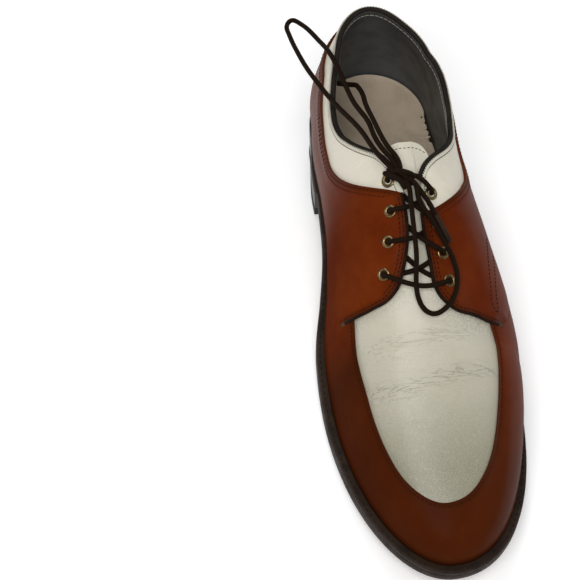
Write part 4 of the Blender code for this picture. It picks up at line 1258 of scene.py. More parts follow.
@dataclass
class Upper:
    """The leather of the shoe: plug and tongue, wing, quarters, collar band, lining and top edge."""

    last: Last
    seams: Seams
    finishes: Finishes
    wing_lift: float = 0.6
    wing_thickness: float = 1.1
    quarter_lift: float = 0.9
    quarter_overlap: float = 0.75
    quarter_thickness: float = 1.6
    flush_step: float = 0.06
    collar_lift: float = 0.2
    collar_thickness: float = 1.1
    plug_lift: float = -1.1
    plug_underlap: float = 6.0
    plug_thickness: float = 1.2
    tongue_lift: float = -3.6
    tongue_flap: float = 18.5
    lining_lift: float = -2.2
    lining_thickness: float = 1.0
    edge_round: float = 0.45
    edge_width: float = 0.9
    edge_bead: float = 0.62
    binding_radius: float = 1.4
    gimp_thickness: float = 0.5
    pinking: float = 1.4
    pinking_pitch: float = 1.5
    tongue_line: Points = field(default_factory=lambda: np.zeros((0, 3)))

    def patch(self, foot: Seam, top: Seam, back: Seam | None, front: Seam | None,
              across: Points, along: Points) -> Points:
        """Fill four seams with places.

        Args:
            foot: Lower edge, from back to front.
            top: Upper edge, from back to front.
            back: Back edge from foot to top, or None where the seams meet in a point.
            front: Front edge from foot to top, or None where the seams meet in a point.
            across: Shares of the way from foot to top.
            along: Shares of the way from back to front.

        Returns:
            Ring and rise of each place, by row and column.
        """
        q, p = across[:, None, None], along[None, :, None]
        low, high = foot.at(along)[None], top.at(along)[None]
        first = (back.at(across) if back else np.repeat(foot.at([0.0]), len(across), 0))[:, None]
        final = (front.at(across) if front else np.repeat(foot.at([1.0]), len(across), 0))[:, None]
        corners = ((1 - q) * ((1 - p) * low[:, :1] + p * low[:, -1:])
                   + q * ((1 - p) * high[:, :1] + p * high[:, -1:]))
        return (1 - q) * low + q * high + (1 - p) * first + p * final - corners

    def leather(self, name: str, places: Points, lift: Points, thickness: float, edges: list[Points],
                tone: Points | None = None) -> Piece:
        """Make a leather panel with rounded cut edges on the last.

        Args:
            name: The piece's name.
            places: Ring and rise by row and column.
            lift: Height of its outer face over the last.
            thickness: The leather's thickness.
            edges: Points of its visible cut edges.
            tone: Darkening of each place, if any.

        Returns:
            The piece, solid.
        """
        ring, rise = places[..., 0], places[..., 1]
        rough = self.last.lifted(ring, rise, lift)
        away = distances(rough, edges)
        rounded = lift - self.edge_round * np.clip(1 - away / self.edge_width, 0.0, 1.0) ** 2
        points = self.last.lifted(ring, rise, rounded)
        piece = grid_piece(name, points)
        set_values(piece, "edge", away)
        polish = ramp(-points[..., 0], 18.0, 36.0) * ramp(points[..., 1], 20.0, 80.0)
        set_values(piece, "polish", np.maximum(0.55 * ramp(points[..., 0], 4.0, 34.0), polish))
        set_values(piece, "tone", tone if tone is not None else np.zeros_like(away))
        set_uv(piece, np.stack((ring.ravel() * RING_MM, rise.ravel() * RISE_MM), axis=1) * MM)
        self.face_out(piece, points, self.last.normal(ring, rise))
        thicken(piece, thickness, 1)
        return piece

    def cover(self, piece: Piece, material: Material, node: str) -> None:
        """Dress a panel that shows raw leather at its cut edges, in place of a CAD node."""
        dress(piece, [material, self.finishes.plain["raw_edge"]], (node,))

    @staticmethod
    def face_out(piece: Piece, points: Points, normals: Points) -> None:
        """Turn a grid's faces to the outside of the last.

        Args:
            piece: The grid.
            points: Its points by row and column.
            normals: Outward directions at the points.
        """
        rows, columns = points.shape[0] // 2, points.shape[1] // 2
        here = points[rows, columns]
        turn = np.cross(points[rows, columns + 1] - here, points[rows + 1, columns] - here)
        if float(np.dot(turn, normals[rows, columns])) < 0.0:
            edit(piece, flip=True)

    def wing(self) -> None:
        """Make the brown wing round the toe, with its cut edge along the apron seam."""
        seams = self.seams
        foot = Seam.through(self.last, ((45.5, 1.5), (60.0, 1.5), (80.0, 1.5), (100.0, 1.5), (120.0, 1.5),
                                        (140.0, 1.5), (154.5, 1.5)))
        places = self.patch(foot, seams.apron, seams.wing_end[Side.LATERAL], seams.wing_end[Side.MEDIAL],
                            with_edges(44, 0.008), with_edges(300, 0.001))
        ring, rise = places[..., 0], places[..., 1]
        edges = [seams.apron.points(self.wing_lift, 0.1)[0]]
        points = self.last.point(ring, rise)
        lift = self.wing_lift + 0.35 * crease_lift(self.last, points) * ramp(rise, 20.0, 50.0)
        ends = [seams.wing_end[side].points(self.wing_lift, 0.5)[0] for side in Side]
        lift = lift - 1.6 * (1 - ramp(distances(points, ends), 1.5, 5.5))
        # Painted shade on the wing: towards the toe and on its outer side; the first term darkens it towards
        # the foot.
        wing_toe_shade = ramp(ring, 66.0, 88.0) * (1 - ramp(ring, 104.0, 130.0))
        outer = ramp(ring, 61.0, 74.0) * (1 - ramp(ring, 74.0, 96.0))
        tone = 0.45 * (1 - ramp(rise, 1.5, 12.0)) + 0.85 * wing_toe_shade + outer * (1 - wing_toe_shade)
        piece = self.leather("apron_wing_leather", places, lift, self.wing_thickness, edges, tone)
        self.cover(piece, self.finishes.brown, "apron_wing")

    def quarter(self, side: Side) -> None:
        """Make a brown quarter with its facing, over the wing and the collar band.

        Args:
            side: Outer or inner side.
        """
        seams = self.seams
        collar, facing, foot = seams.collar[side], seams.facing[side], seams.foot[side]
        top = collar.joined(facing)
        middle = 0.0 if side is Side.LATERAL else RING
        back = Seam.through(self.last, ((middle, 1.5), (middle, 30.0), (middle, 60.0), (middle, 80.0)))
        places = self.patch(foot, top, back, None, with_edges(60, 0.006), with_edges(220, 0.002))
        cut = [collar.points(self.quarter_lift, 0.1)[0], facing.points(self.quarter_lift, 0.1)[0]]
        base = np.full(places.shape[:2], self.quarter_lift)
        lift = self.quarter_face(side, self.last.lifted(places[..., 0], places[..., 1], base))
        tone = 0.4 * (1 - ramp(places[..., 1], 1.5, 10.0))
        name = f"quarter_{side.name.lower()}"
        piece = self.leather(f"{name}_leather", places, lift, self.quarter_thickness, cut, tone)
        self.cover(piece, self.finishes.brown, name)
        # The dark bead along the facing's edge is its painted edge together with painted shadow beside it.
        line, normals = facing.points(self.quarter_lift, 0.5)
        edge = self.quarter_face(side, line) - self.quarter_lift - self.quarter_thickness / 2
        tube(f"{name}_edge", line + edge[:, None] * normals, self.edge_bead * self.quarter_thickness, 10,
             self.finishes.plain["edge_paint_and_shadow"])

    def quarter_face(self, side: Side, points: Points) -> Points:
        """Give the height of a quarter's face: raised at its free edges, flush at its foot seam.

        Args:
            side: Outer or inner side.
            points: Points of the quarter.

        Returns:
            Heights over the last.
        """
        seams, lift = self.seams, self.quarter_lift
        collar, facing, foot = seams.collar[side], seams.facing[side], seams.foot[side]
        over = [collar.points(lift, 0.2)[0], facing.part(0.62, 1.0).points(lift, 0.2)[0]]
        flush = [foot.part(0.5, 1.0).points(lift, 0.2)[0]]
        raised = 1 - ramp(distances(points, over), 4.0, 11.0)
        raised = raised * ramp(distances(points, [facing.part(0.985, 1.0).points(lift, 0.2)[0]]), 0.0, 7.0)
        sunk = (1 - ramp(distances(points, flush), 0.0, 7.0)) * (1 - raised)
        return lift + self.quarter_overlap * raised - (lift - self.wing_lift - self.flush_step) * sunk

    def collar(self) -> None:
        """Make the pale collar band under the top edge, from facing to facing."""
        seams = self.seams
        lateral = Seam(self.last, seams.collar[Side.LATERAL].places[::-1])
        medial = Seam(self.last, seams.collar[Side.MEDIAL].places - (RING, 0.0))
        foot = lateral.joined(medial).beside(6.0)
        start, final = foot.at([0.0])[0], foot.at([1.0])[0]
        back = Seam.through(self.last, (tuple(start), *seams.COLLAR_FRONT_LATERAL, seams.TOPLINE[0]))
        front = Seam.through(self.last, (tuple(final), *seams.COLLAR_FRONT_MEDIAL[::-1], seams.TOPLINE[-1]))
        across = with_edges(24, 0.012)
        along = np.linspace(0.0, 1.0, 460)
        places = self.patch(foot, seams.topline, back, front, across, along)
        places[..., 1] -= ramp(across, 0.6, 1.0)[:, None] * 2.1
        edges = [seams.topline.beside(-0.9).points(self.collar_lift, 0.5)[0]]
        lift = np.full(places.shape[:2], self.collar_lift)
        piece = self.leather("collar_band_leather", places, lift, self.collar_thickness, edges)
        self.cover(piece, self.finishes.ribbed, "collar_band")

    def plug_edge(self) -> Points:
        """Give the rings and the rises of the plug's hidden edge under the wing."""
        places = self.seams.apron.beside(-self.plug_underlap).places
        return places[np.argsort(places[:, 0])].T

    def plug_toe(self, shares: Points) -> Points:
        """Give the plug's points round the toe.

        Args:
            shares: Shares of the way from the edge to the ridge.

        Returns:
            Points by row and column.
        """
        toe = np.concatenate((np.linspace(70.0, 92.0, 90), np.linspace(92.4, 107.6, 78),
                              np.linspace(108.0, 130.0, 90)))
        start = np.interp(toe, *self.plug_edge())
        rise = start[None] + (RIDGE - start[None]) * shares[:, None]
        return self.sheet_points(np.broadcast_to(toe, rise.shape), rise, np.full(rise.shape, self.plug_lift))

    def vamp(self, shares: Points) -> Points:
        """Give the plug's points from the ball back, down to the tongue under the facings.

        Args:
            shares: Shares of the way from an edge to the ridge.

        Returns:
            Points by row and column, each row from the outer to the inner edge.
        """
        last, hidden, rows = self.last, self.plug_edge(), []
        for station in np.concatenate((np.linspace(190.0, 160.0, 40), np.linspace(159.0, 118.0, 34))):
            share = (station - last.heel_axis) / (last.ball_axis - last.heel_axis)
            along = last.heel_share + (last.ball_share - last.heel_share) * share
            ease, widen = (float(ramp(np.array(station), *span)) for span in ((158.0, 174.0), (157.0, 163.0)))
            lift = self.tongue_lift + (self.plug_lift - self.tongue_lift) * ease
            row = []
            for ring in (along, RING - along):
                half = self.tongue_rise(station, ring)
                edge = half + (float(np.interp(ring, *hidden)) - half) * widen
                rise = edge + (RIDGE - edge) * shares
                row.append(self.sheet_points(np.full(len(rise), ring), rise, np.full(len(rise), lift)))
            rows.append(np.concatenate((row[0], row[1][::-1])))
        return np.array(rows)

    def flap(self, start: Points) -> Points:
        """Give the points of the tongue's free flap.

        Args:
            start: The row of points that it carries on from.

        Returns:
            Points by row and column.
        """
        half = len(start) // 2
        centre = start[half - 1:half + 1].mean(0)
        off = start - centre
        middle = off[:, 0] / np.abs(off[:, 0]).max()
        rows = []
        for length in np.linspace(1.0, self.tongue_flap, 18):
            share = length / self.tongue_flap
            run = length - 4.5 * share * np.abs(middle) ** 5
            row = centre + np.stack((off[:, 0] * (1 - 0.22 * share ** 2), 0.93 * run,
                                     off[:, 2] * (1 - 0.55 * share) + 0.36 * run), axis=1)
            row[:, 1] += off[:, 1]
            rows.append(row)
        self.tongue_line = rows[-4][np.abs(middle) < 0.86]
        return np.array(rows)

    def plug(self) -> None:
        """Make the pale plug and the tongue that it carries on as, in one creased sheet."""
        shares = np.linspace(0.0, 1.0, 64)
        toe = grid_piece("plug_toe", self.plug_toe(shares))
        vamp = self.vamp(shares)
        piece = grid_piece("plug_tongue_leather", np.concatenate((vamp, self.flap(vamp[-1]))))
        activate(piece)
        toe.select_set(True)
        bpy.ops.object.join()
        edit(piece, merge_mm=0.02, outwards=True)
        if sum(face.normal.z for face in piece.data.polygons) < 0:
            edit(piece, flip=True)
        self.wear_plug(piece)
        thicken(piece, self.plug_thickness, 1)
        self.cover(piece, self.finishes.pale, "tongue")

    def wear_plug(self, piece: Piece) -> None:
        """Keep the plug's painted shade, wear and cracks on its mesh.

        Args:
            piece: The plug, before it gets its thickness.
        """
        places = np.empty(len(piece.data.vertices) * 3, np.float32)
        piece.data.vertices.foreach_get("co", places)
        places = places.reshape(-1, 3) / MM
        station = self.last.centre_station - places[:, 1]
        # Painted shade in the crease troughs.
        dark = np.clip(-crease_lift(self.last, places), 0.0, 1.0) * 0.12
        fronts = [self.seams.facing[side].part(0.5, 1.0).points(0.0, 1.0)[0] for side in Side]
        near = 1 - ramp(distances(places, fronts), 1.0, 14.0)
        # The tone paints shade in the creases and a painted shadow on the tongue under the facings and laces.
        set_values(piece, "tone", dark + 0.10 * (1 - ramp(station, 150.0, 172.0)))
        # Painted shade that darkens the plug towards the toe.
        set_values(piece, "plug_toe_shade", ramp(station, 160.0, 210.0) * 0.42 + ramp(station, 200.0, 262.0) * 0.72)
        set_values(piece, "wear", crease_wear(self.last, places))
        set_values(piece, "crackle", near * (0.45 + 0.55 * ramp(places[:, 0], -10.0, 20.0)))

    def tongue_rise(self, station: float, ring: float) -> float:
        """Give the rise of the tongue's side edge.

        Args:
            station: Distance from the back of the heel.
            ring: Ring place there.

        Returns:
            The rise in percent.
        """
        half = 17.0 + 2.0 * float(ramp(np.array(station), 118.0, 172.0))
        rises = np.linspace(40.0, 100.0, 121)
        x = np.abs(self.last.point(np.full(121, ring), rises)[:, 0] - self.last.point(ring, 100.0)[0])
        cone = max(float(self.last.sizes(np.array(station))["cone"]), 0.0)
        return float(np.interp(-(half - cone), -x, rises))

    def sheet_points(self, ring: Points, rise: Points, lift: Points) -> Points:
        """Give points of the plug with its creases.

        Args:
            ring: Ring places in percent.
            rise: Rises in percent.
            lift: Heights over the last without the creases.

        Returns:
            Points in millimetres.
        """
        base = self.last.point(ring, rise)
        away = distances(base, [self.seams.apron.beside(-1.0).points(0.0, 0.8)[0]])
        inside = rise > np.interp(ring, self.seams.apron.places[:, 0], self.seams.apron.places[:, 1])
        creased = crease_lift(self.last, base) * ramp(away, 0.5, 6.0) * inside
        return self.last.lifted(ring, rise, lift + creased)

    def lining(self) -> None:
        """Make the dark lining inside the leather, open at collar, throat and underneath."""
        heel = np.linspace(0.0, 20.0, 26)
        side = np.concatenate((np.linspace(20.0, 58.0, 60)[1:], np.linspace(58.5, 64.6, 22),
                               np.linspace(65.2, 69.5, 8)))
        toe = np.linspace(70.0, 100.0, 44)
        outer = np.concatenate((heel, side, toe))
        lateral = np.interp(outer, *np.array(Seams.LINING_LATERAL).T)
        medial = np.interp(outer, *np.array(Seams.LINING_MEDIAL).T)
        rings = np.concatenate((outer, RING - outer[-2::-1]))
        tops = np.concatenate((lateral, medial[-2::-1])) - 0.4
        shares = np.linspace(0.0, 1.0, 40)
        rise = 0.5 + (tops[None] - 0.5) * shares[:, None]
        rise = np.where(tops[None] > 99.0, 0.5 + 99.5 * shares[:, None], rise)
        ring = np.broadcast_to(rings, rise.shape)
        points = self.last.lifted(ring, rise, np.full(rise.shape, self.lining_lift))
        piece = grid_piece("lining_leather", points)
        self.face_out(piece, points, self.last.normal(ring, rise))
        edit(piece, merge_mm=0.02)
        thicken(piece, self.lining_thickness)
        dress(piece, [self.finishes.plain["lining"]], ("upper",))

    def binding(self) -> None:
        """Make the rolled black binding along the top edge."""
        points, _ = self.seams.topline.beside(0.5).points(-1.6, 1.2)
        tube("topline_binding", points, self.binding_radius, 14, self.finishes.plain["binding"])

    def gimp(self) -> None:
        """Make the narrow pale strip under the binding, with its fine pinked edge."""
        topline = self.seams.topline
        along = np.linspace(0.0, 1.0, 2 * int(topline.length / self.pinking_pitch * 2) + 1)
        low, high = topline.beside(2.6).at(along), topline.beside(0.1).at(along)
        teeth = self.pinking * np.abs((along * topline.length / self.pinking_pitch) % 1.0 - 0.5) * 2
        shares = np.array((0.0, 0.2, 0.45, 0.7, 1.0))[:, None] * (1.0 - teeth / 2.5)[None]
        places = low[None] + (high - low)[None] * shares[..., None]
        lift = self.collar_lift + np.array((-0.1, 0.35, 0.5, 0.45, 0.2))[:, None] * np.ones(len(along))[None]
        far_off = [topline.points(self.collar_lift, 1.0)[0] + 40.0]
        piece = self.leather("topline_gimp", places, lift, self.gimp_thickness, far_off)
        dress(piece, [self.finishes.pale, self.finishes.pale])

    def build(self) -> None:
        """Make every leather piece."""
        self.lining()
        self.plug()
        self.wing()
        self.quarter(Side.LATERAL)
        self.quarter(Side.MEDIAL)
        self.collar()
        self.binding()
        self.gimp()


def tube(name: str, points: Points, radius: float, sides: int, material: Material,
         replaces: Names = ()) -> Piece:
    """Make a round closed tube along points, with turn and length as its UV map.

    Args:
        name: The piece's name.
        points: Millimetre points along the tube.
        radius: The tube's radius.
        sides: Faces round the tube.
        material: Its material.
        replaces: CAD nodes that it stands for.

    Returns:
        The piece.
    """
    run = unit(np.gradient(points, axis=0))
    side = np.empty_like(points)
    guess = np.array((0.0, 0.0, 1.0)) if abs(run[0, 2]) < 0.9 else np.array((1.0, 0.0, 0.0))
    side[0] = unit(np.cross(run[0], guess))
    for index in range(1, len(points)):
        side[index] = unit(side[index - 1] - run[index] * np.dot(side[index - 1], run[index]))
    over = np.cross(run, side)
    angles = (2 * math.pi * np.arange(sides) / sides)[None, :, None]
    ring = np.cos(angles) * side[:, None] + np.sin(angles) * over[:, None]
    radii = np.full(len(points), radius)
    radii[[0, -1]] *= 0.8
    verts = (points[:, None] + radii[:, None, None] * ring).reshape(-1, 3)
    piece = mesh_piece(name, verts, tube_faces(len(points), sides))
    edit(piece, outwards=True)
    turns = np.abs(np.arange(sides) / sides - 0.5) * 2
    lengths = arc_lengths(points) * MM
    set_uv(piece, np.stack((np.tile(turns, len(points)), np.repeat(lengths, sides)), axis=1))
    smooth(piece, 60.0)
    return dress(piece, [material], replaces)


def tube_faces(rings: int, sides: int) -> Faces:
    """Give the faces of a closed tube.

    Args:
        rings: Rings of vertices along the tube.
        sides: Vertices of each ring.

    Returns:
        Vertex numbers of the sides and both ends.
    """
    faces = []
    for row in range(rings - 1):
        for column in range(sides):
            after = (column + 1) % sides
            faces.append((row * sides + column, row * sides + after,
                          (row + 1) * sides + after, (row + 1) * sides + column))
    faces.append(tuple(range(sides - 1, -1, -1)))
    faces.append(tuple(range((rings - 1) * sides, rings * sides)))
    return faces


SIDE_ROW = ((52.5, 47.5), (57.0, 53.8), (61.5, 57.1), (64.6, 58.4), (65.6, 56.4), (64.4, 54.2), (62.7, 53.4),
            (59.8, 51.0), (54.5, 43.0))


@dataclass
class Stitching:
    """Rows of stitches along the seams."""

    seams: Seams
    upper: Upper
    finishes: Finishes
    pitch: float = 2.3
    length: float = 1.85
    radius: float = 0.24
    proud: float = 0.05
    sides: int = 6
    tack_width: float = 2.5

    def capsules(self, points: Points, normals: Points, pitch: float, length: float,
                 radius: float) -> tuple[Points, Faces]:
        """Make the stitches of one row.

        Args:
            points: Points along the row, close together.
            normals: Outward directions at the points.
            pitch: Distance between stitches.
            length: Length of a stitch.
            radius: Half of the thread's thickness.

        Returns:
            Vertices and faces.
        """
        steps = arc_lengths(points)
        middles = np.arange(pitch / 2, steps[-1], pitch)
        verts, faces = [], []
        angles = 2 * math.pi * np.arange(self.sides) / self.sides
        shares = np.array((-0.5, -0.34, 0.0, 0.34, 0.5))
        pattern = tube_faces(len(shares), self.sides)
        sizes = np.array((0.35, 0.9, 1.0, 0.9, 0.35))
        drops = np.array((-1.0, -0.15, 0.12, -0.15, -1.0)) * radius
        for middle in middles:
            base = len(verts) * self.sides
            at = np.clip(middle + shares * length, 0.0, steps[-1])
            line, out = on_route(at, steps, points), unit(on_route(at, steps, normals))
            run = unit(np.gradient(line, axis=0))
            across = unit(np.cross(out, run))
            line = line + out * drops[:, None]
            for index in range(len(shares)):
                turned = np.cos(angles)[:, None] * across[index] + np.sin(angles)[:, None] * out[index]
                verts.append(line[index] + sizes[index] * radius * turned)
            faces.extend(tuple(base + corner for corner in face) for face in pattern)
        return np.concatenate(verts), faces

    def rows(self, name: str, lines: list[Seam], lift: float, material: str, pitch: float | None = None,
             side: Side | None = None) -> None:
        """Make a piece of several stitch rows.

        Args:
            name: The piece's name.
            lines: Each row's line on the last.
            lift: Height of the leather's face.
            material: Name of the thread's finish.
            pitch: Distance between stitches, if not the usual one.
            side: The quarter whose uneven face the rows lie on, if any.
        """
        pitch = pitch or self.pitch
        made = []
        for line in lines:
            points, normals = line.points(lift, 0.8)
            if side is not None:
                face = self.upper.quarter_face(side, points) + self.proud
                points = points + (face - lift)[:, None] * normals
            made.append(self.capsules(points, normals, pitch, pitch * self.length / self.pitch, self.radius))
        self.sew(name, *self.gather(made), material)

    @staticmethod
    def gather(made: list[tuple[Points, Faces]]) -> tuple[Points, Faces]:
        """Put several lots of stitches together.

        Args:
            made: Vertices and faces of each lot.

        Returns:
            All vertices and all faces.
        """
        faces, total = [], 0
        for verts, joined in made:
            faces.extend(tuple(index + total for index in face) for face in joined)
            total += len(verts)
        return np.concatenate([verts for verts, _ in made]), faces

    def sew(self, name: str, verts: Points, faces: Faces, material: str) -> None:
        """Make one piece of finished stitches.

        Args:
            name: The piece's name.
            verts: Vertices of the stitches.
            faces: Their faces.
            material: Name of the thread's finish.
        """
        piece = mesh_piece(name, verts, faces)
        edit(piece, outwards=True)
        smooth(piece, 60.0)
        dress(piece, [self.finishes.plain[material]])

    def tack(self, name: str, line: Seam, lift: float) -> None:
        """Make a bar tack of close stitches across the end of an edge.

        Args:
            name: The piece's name.
            line: The stretch of the edge that it covers.
            lift: Height of the leather's face there.
        """
        points, normals = line.points(lift, 0.42)
        across = unit(np.cross(normals, np.gradient(points, axis=0)))
        reach = np.linspace(-self.tack_width / 2, self.tack_width / 2, 5)[:, None]
        made = [self.capsules(point + reach * side, np.tile(normal, (5, 1)), self.tack_width, 2.4, 0.27)
                for point, normal, side in zip(points, normals, across)]
        self.sew(name, *self.gather(made), "tack_thread")

    def build(self) -> None:
        """Sew every seam."""
        seams, upper = self.seams, self.upper
        self.rows("wing_stitches", [seams.apron.part(0.01, 0.99).beside(-2.0)], upper.wing_lift + self.proud,
                  "brown_thread")
        for side in Side:
            sign = 1.0 if side is Side.LATERAL else -1.0
            collar, facing, label = seams.collar[side], seams.facing[side], side.name.lower()
            soft = [collar.part(0.02, 0.97).beside(-sign * 1.6), collar.part(0.02, 0.95).beside(-sign * 4.0)]
            dark = [facing.part(0.02, 0.97).beside(-sign * 1.7), facing.part(0.05, 0.62).beside(-sign * 3.5)]
            if side is Side.LATERAL:
                foot = seams.foot[side].part(0.62, 0.80)
                soft += [foot.beside(1.8), foot.beside(3.8)]
            else:
                dark.append(Seam.through(self.upper.last, SIDE_ROW, True))
            self.rows(f"quarter_stitches_{label}", soft, upper.quarter_lift, "brown_thread", side=side)
            self.rows(f"facing_stitches_{label}", dark, upper.quarter_lift, "thread", side=side)
            self.tack(f"corner_tack_{label}", facing.part(0.965, 1.0), upper.wing_lift + 0.25)
        out = unit(np.tile((0.0, -0.36, 0.93), (len(upper.tongue_line), 1)))
        self.sew("tongue_stitches", *self.capsules(upper.tongue_line, out, 2.2, 1.7, 0.2), "thread")
        top = seams.topline.part(0.01, 0.99)
        whole = seams.COLLAR_FRONT_LATERAL + seams.TOPLINE + seams.COLLAR_FRONT_MEDIAL
        edge = Seam.through(upper.last, whole)
        self.rows("topline_stitches", [edge.beside(2.7)], upper.collar_lift + self.proud, "dark_thread",
                  1.3)
        inner = upper.lining_lift - upper.lining_thickness - self.proud
        self.rows("lining_stitches", [top.beside(4.0)], inner, "pale_thread", 2.6)


Profile = list[tuple[Callable[[Points], Points], Callable[[Points], Points]]]
SOCK_NICKS = (
    (19.0, 0.0), (20.3, 0.6), (21.3, 0.7), (21.6, 1.5), (22.0, 0.6), (22.7, 0.7), (23.0, 1.7), (23.4, 0.6),
    (23.9, 0.8), (24.2, 1.6), (24.5, 0.2), (24.9, 2.0), (25.5, 1.8), (25.9, 0.5), (27.0, 0.3), (29.0, 0.0),
)
RUBBER_EDGE = ((0.5, 6.0), (0.1, 5.85), (0.0, 5.4), (0.0, 0.7), (0.15, 0.2), (0.6, 0.0))
WELT_EDGE = ((-0.1, 0.0), (0.1, 0.3), (0.1, 0.72), (-0.2, 0.94), (-0.9, 1.0), (-1.8, 0.96), (-2.8, 0.86))
SOLE_EDGE = ((0.0, 1.8), (20.0, 1.8), (32.0, 2.6), (46.0, 3.4), (62.0, 5.0), (100.0, 5.2), (138.0, 5.0),
             (152.0, 3.6), (168.0, 2.8), (180.0, 1.8), (200.0, 1.8))


@dataclass
class Sole:
    """Outsole, welt, heel and insole."""

    last: Last
    finishes: Finishes
    gap: float = 0.3
    forepart: float = 7.1
    waist: float = 5.0
    welt_thickness: float = 2.4
    welt_end: float = 33.0
    welt_inner: float = -0.8
    breast: float = 32.0
    lift_thickness: float = 6.0
    heel_lifts: int = 4
    heel_taper: float = 1.4
    insole_thickness: float = 3.5
    insole_inset: float = 3.6
    pinhole: float = 0.65
    pinhole_along: float = 20.3
    pinhole_inset: float = 5.5

    def edge(self, ring: Points) -> Points:
        """Give how far the sole's edge stands out from the last."""
        rings, reaches = zip(*SOLE_EDGE)
        return np.interp(np.asarray(ring) % RING, rings, reaches)

    def top(self, y: Points) -> Points:
        """Give the height of the outsole's upper face."""
        return self.last.bed(y) - self.gap

    def bottom(self, y: Points) -> Points:
        """Give the height of the outsole's lower face.

        Args:
            y: Points along the shoe.

        Returns:
            Heights over the floor.
        """
        station = self.last.centre_station - y
        share = np.clip((station - 120.0) / 50.0, 0.0, 1.0)
        return np.maximum(self.top(y) - self.waist - (self.forepart - self.waist) * share, 0.0)

    @staticmethod
    def closed(name: str, rows: list[Points], fill: Callable[..., set]) -> Piece:
        """Make a solid from rows of points round a cross-section.

        Args:
            name: The piece's name.
            rows: Each row's points along the piece.
            fill: The operator that closes its open ends.

        Returns:
            The piece.
        """
        piece = grid_piece(name, np.array([*rows, rows[0]]))
        edit(piece, merge_mm=0.01)
        bpy.ops.object.mode_set(mode="EDIT")
        bpy.ops.mesh.select_mode(type="EDGE")
        bpy.ops.mesh.select_all(action="DESELECT")
        bpy.ops.mesh.select_non_manifold(extend=False, use_wire=False, use_multi_face=False,
                                         use_non_contiguous=False, use_verts=False)
        fill()
        bpy.ops.mesh.select_mode(type="VERT")
        bpy.ops.object.mode_set(mode="OBJECT")
        edit(piece, outwards=True)
        smooth(piece, 40.0)
        return piece

    def edge_rows(self, ring: Points, profile: Profile) -> list[Points]:
        """Give the rows of points on one side's edge.

        Args:
            ring: Ring places along that side.
            profile: Reach and height functions of the edge.

        Returns:
            One row for each step of the profile.
        """
        rows = []
        for reach, height in profile:
            plan = self.last.outline(ring, reach(ring))
            rows.append(np.concatenate((plan, height(plan[..., 1])[..., None]), axis=-1))
        return rows

    def loft(self, name: str, alongs: Points, profile: Profile) -> Piece:
        """Make a closed body from cross-sections between the outer and inner outline.

        Args:
            name: The piece's name.
            alongs: Shares of the way from heel to toe, one for each cross-section.
            profile: Reach and height functions of the edge, from the top face to the lower face.

        Returns:
            The piece.
        """
        lateral, medial = self.edge_rows(alongs, profile), self.edge_rows(RING - alongs, profile)
        faces = []
        for step, shares in ((-1, (0.8, 0.55, 0.3, 0.0, -0.3, -0.55, -0.8)), (0, (-0.6, 0.0, 0.6))):
            rows = [lateral[step] * (1 + share) / 2 + medial[step] * (1 - share) / 2 for share in shares]
            for row in rows:
                row[:, 2] = profile[step][1](row[:, 1])
            faces.append(rows)
        rows = [*lateral, *faces[0], *medial[::-1], *faces[1]]
        return self.closed(name, rows, bpy.ops.mesh.edge_face_add)

    def alongs(self) -> Points:
        """Give the shares of the way that the long pieces are cut at."""
        toe = 100.0 - 30.0 * np.linspace(1.0, 0.0, 60) ** 1.35
        return np.concatenate((np.linspace(0.0, 20.0, 34), np.linspace(21.0, 69.0, 70), toe))

    def outsole(self) -> None:
        """Make the outsole with its rounded edge, arch and toe spring."""
        profile = [(lambda ring: self.edge(ring) - 0.9, self.top),
                   (lambda ring: self.edge(ring) - 0.2, lambda y: self.top(y) - 0.35),
                   (lambda ring: self.edge(ring) + 0.1, lambda y: self.top(y) - 1.4)]
        for share, reach in ((0.45, 0.2), (0.7, 0.0), (0.88, -0.5)):
            profile.append((lambda ring, reach=reach: self.edge(ring) + reach,
                            lambda y, share=share: self.top(y) * (1 - share) + self.bottom(y) * share))
        profile.append((lambda ring: self.edge(ring) - 1.6, self.bottom))
        piece = self.loft("outsole_leather", self.alongs(), profile)
        plain = self.finishes.plain
        dress(piece, [plain["sole_leather"], plain["tread"]], ("outsole",))
        for face in piece.data.polygons:
            face.material_index = 1 if face.normal.z < -0.8 else 0

    def welt(self) -> None:
        """Make the welt round the forepart and waist."""
        alongs = self.alongs()
        outer = alongs[alongs >= self.welt_end]
        rings = np.concatenate((outer, RING - outer[-2::-1]))
        reach = self.edge(rings)
        section = [(np.full(len(rings), self.welt_inner), 0.0)]
        section += [(reach + step, height) for step, height in WELT_EDGE]
        section.append((np.minimum(reach - 2.8, 0.6), 0.8))
        rows = []
        for out, height in section:
            plan = self.last.outline(rings, np.maximum(out, self.welt_inner))
            height = self.last.bed(plan[:, 1]) + height * self.welt_thickness
            rows.append(np.concatenate((plan, height[:, None]), axis=1))
        piece = self.closed("welt_leather", rows, bpy.ops.mesh.fill)
        dress(piece, [self.finishes.plain["sole_leather"]], ("welt",))

    def welt_line(self) -> tuple[Points, Points]:
        """Give the points of the welt's stitch row and the upward directions there."""
        outer = np.linspace(self.welt_end + 2.0, 100.0, 400)
        rings = np.concatenate((outer, RING - outer[-2::-1]))
        plan = self.last.outline(rings, np.maximum(self.edge(rings) - 1.7, 0.3))
        height = self.last.bed(plan[:, 1]) + self.welt_thickness * 0.97
        points = np.concatenate((plan, height[:, None]), axis=1)
        return points, np.tile((0.0, 0.0, 1.0), (len(points), 1))

    def heel_reach(self, share: float, inset: float) -> Callable[[Points], Points]:
        """Give the heel's reach round the ring at a share of the way down, with an inset."""
        return lambda ring: self.edge(ring) - self.heel_taper * share - inset

    def heel_height(self, share: float) -> Callable[[Points], Points]:
        """Give the height along the heel stack at a share of the way down."""
        low = self.lift_thickness + self.gap
        return lambda y: (self.bottom(y) - self.gap) * (1 - share) + low * share

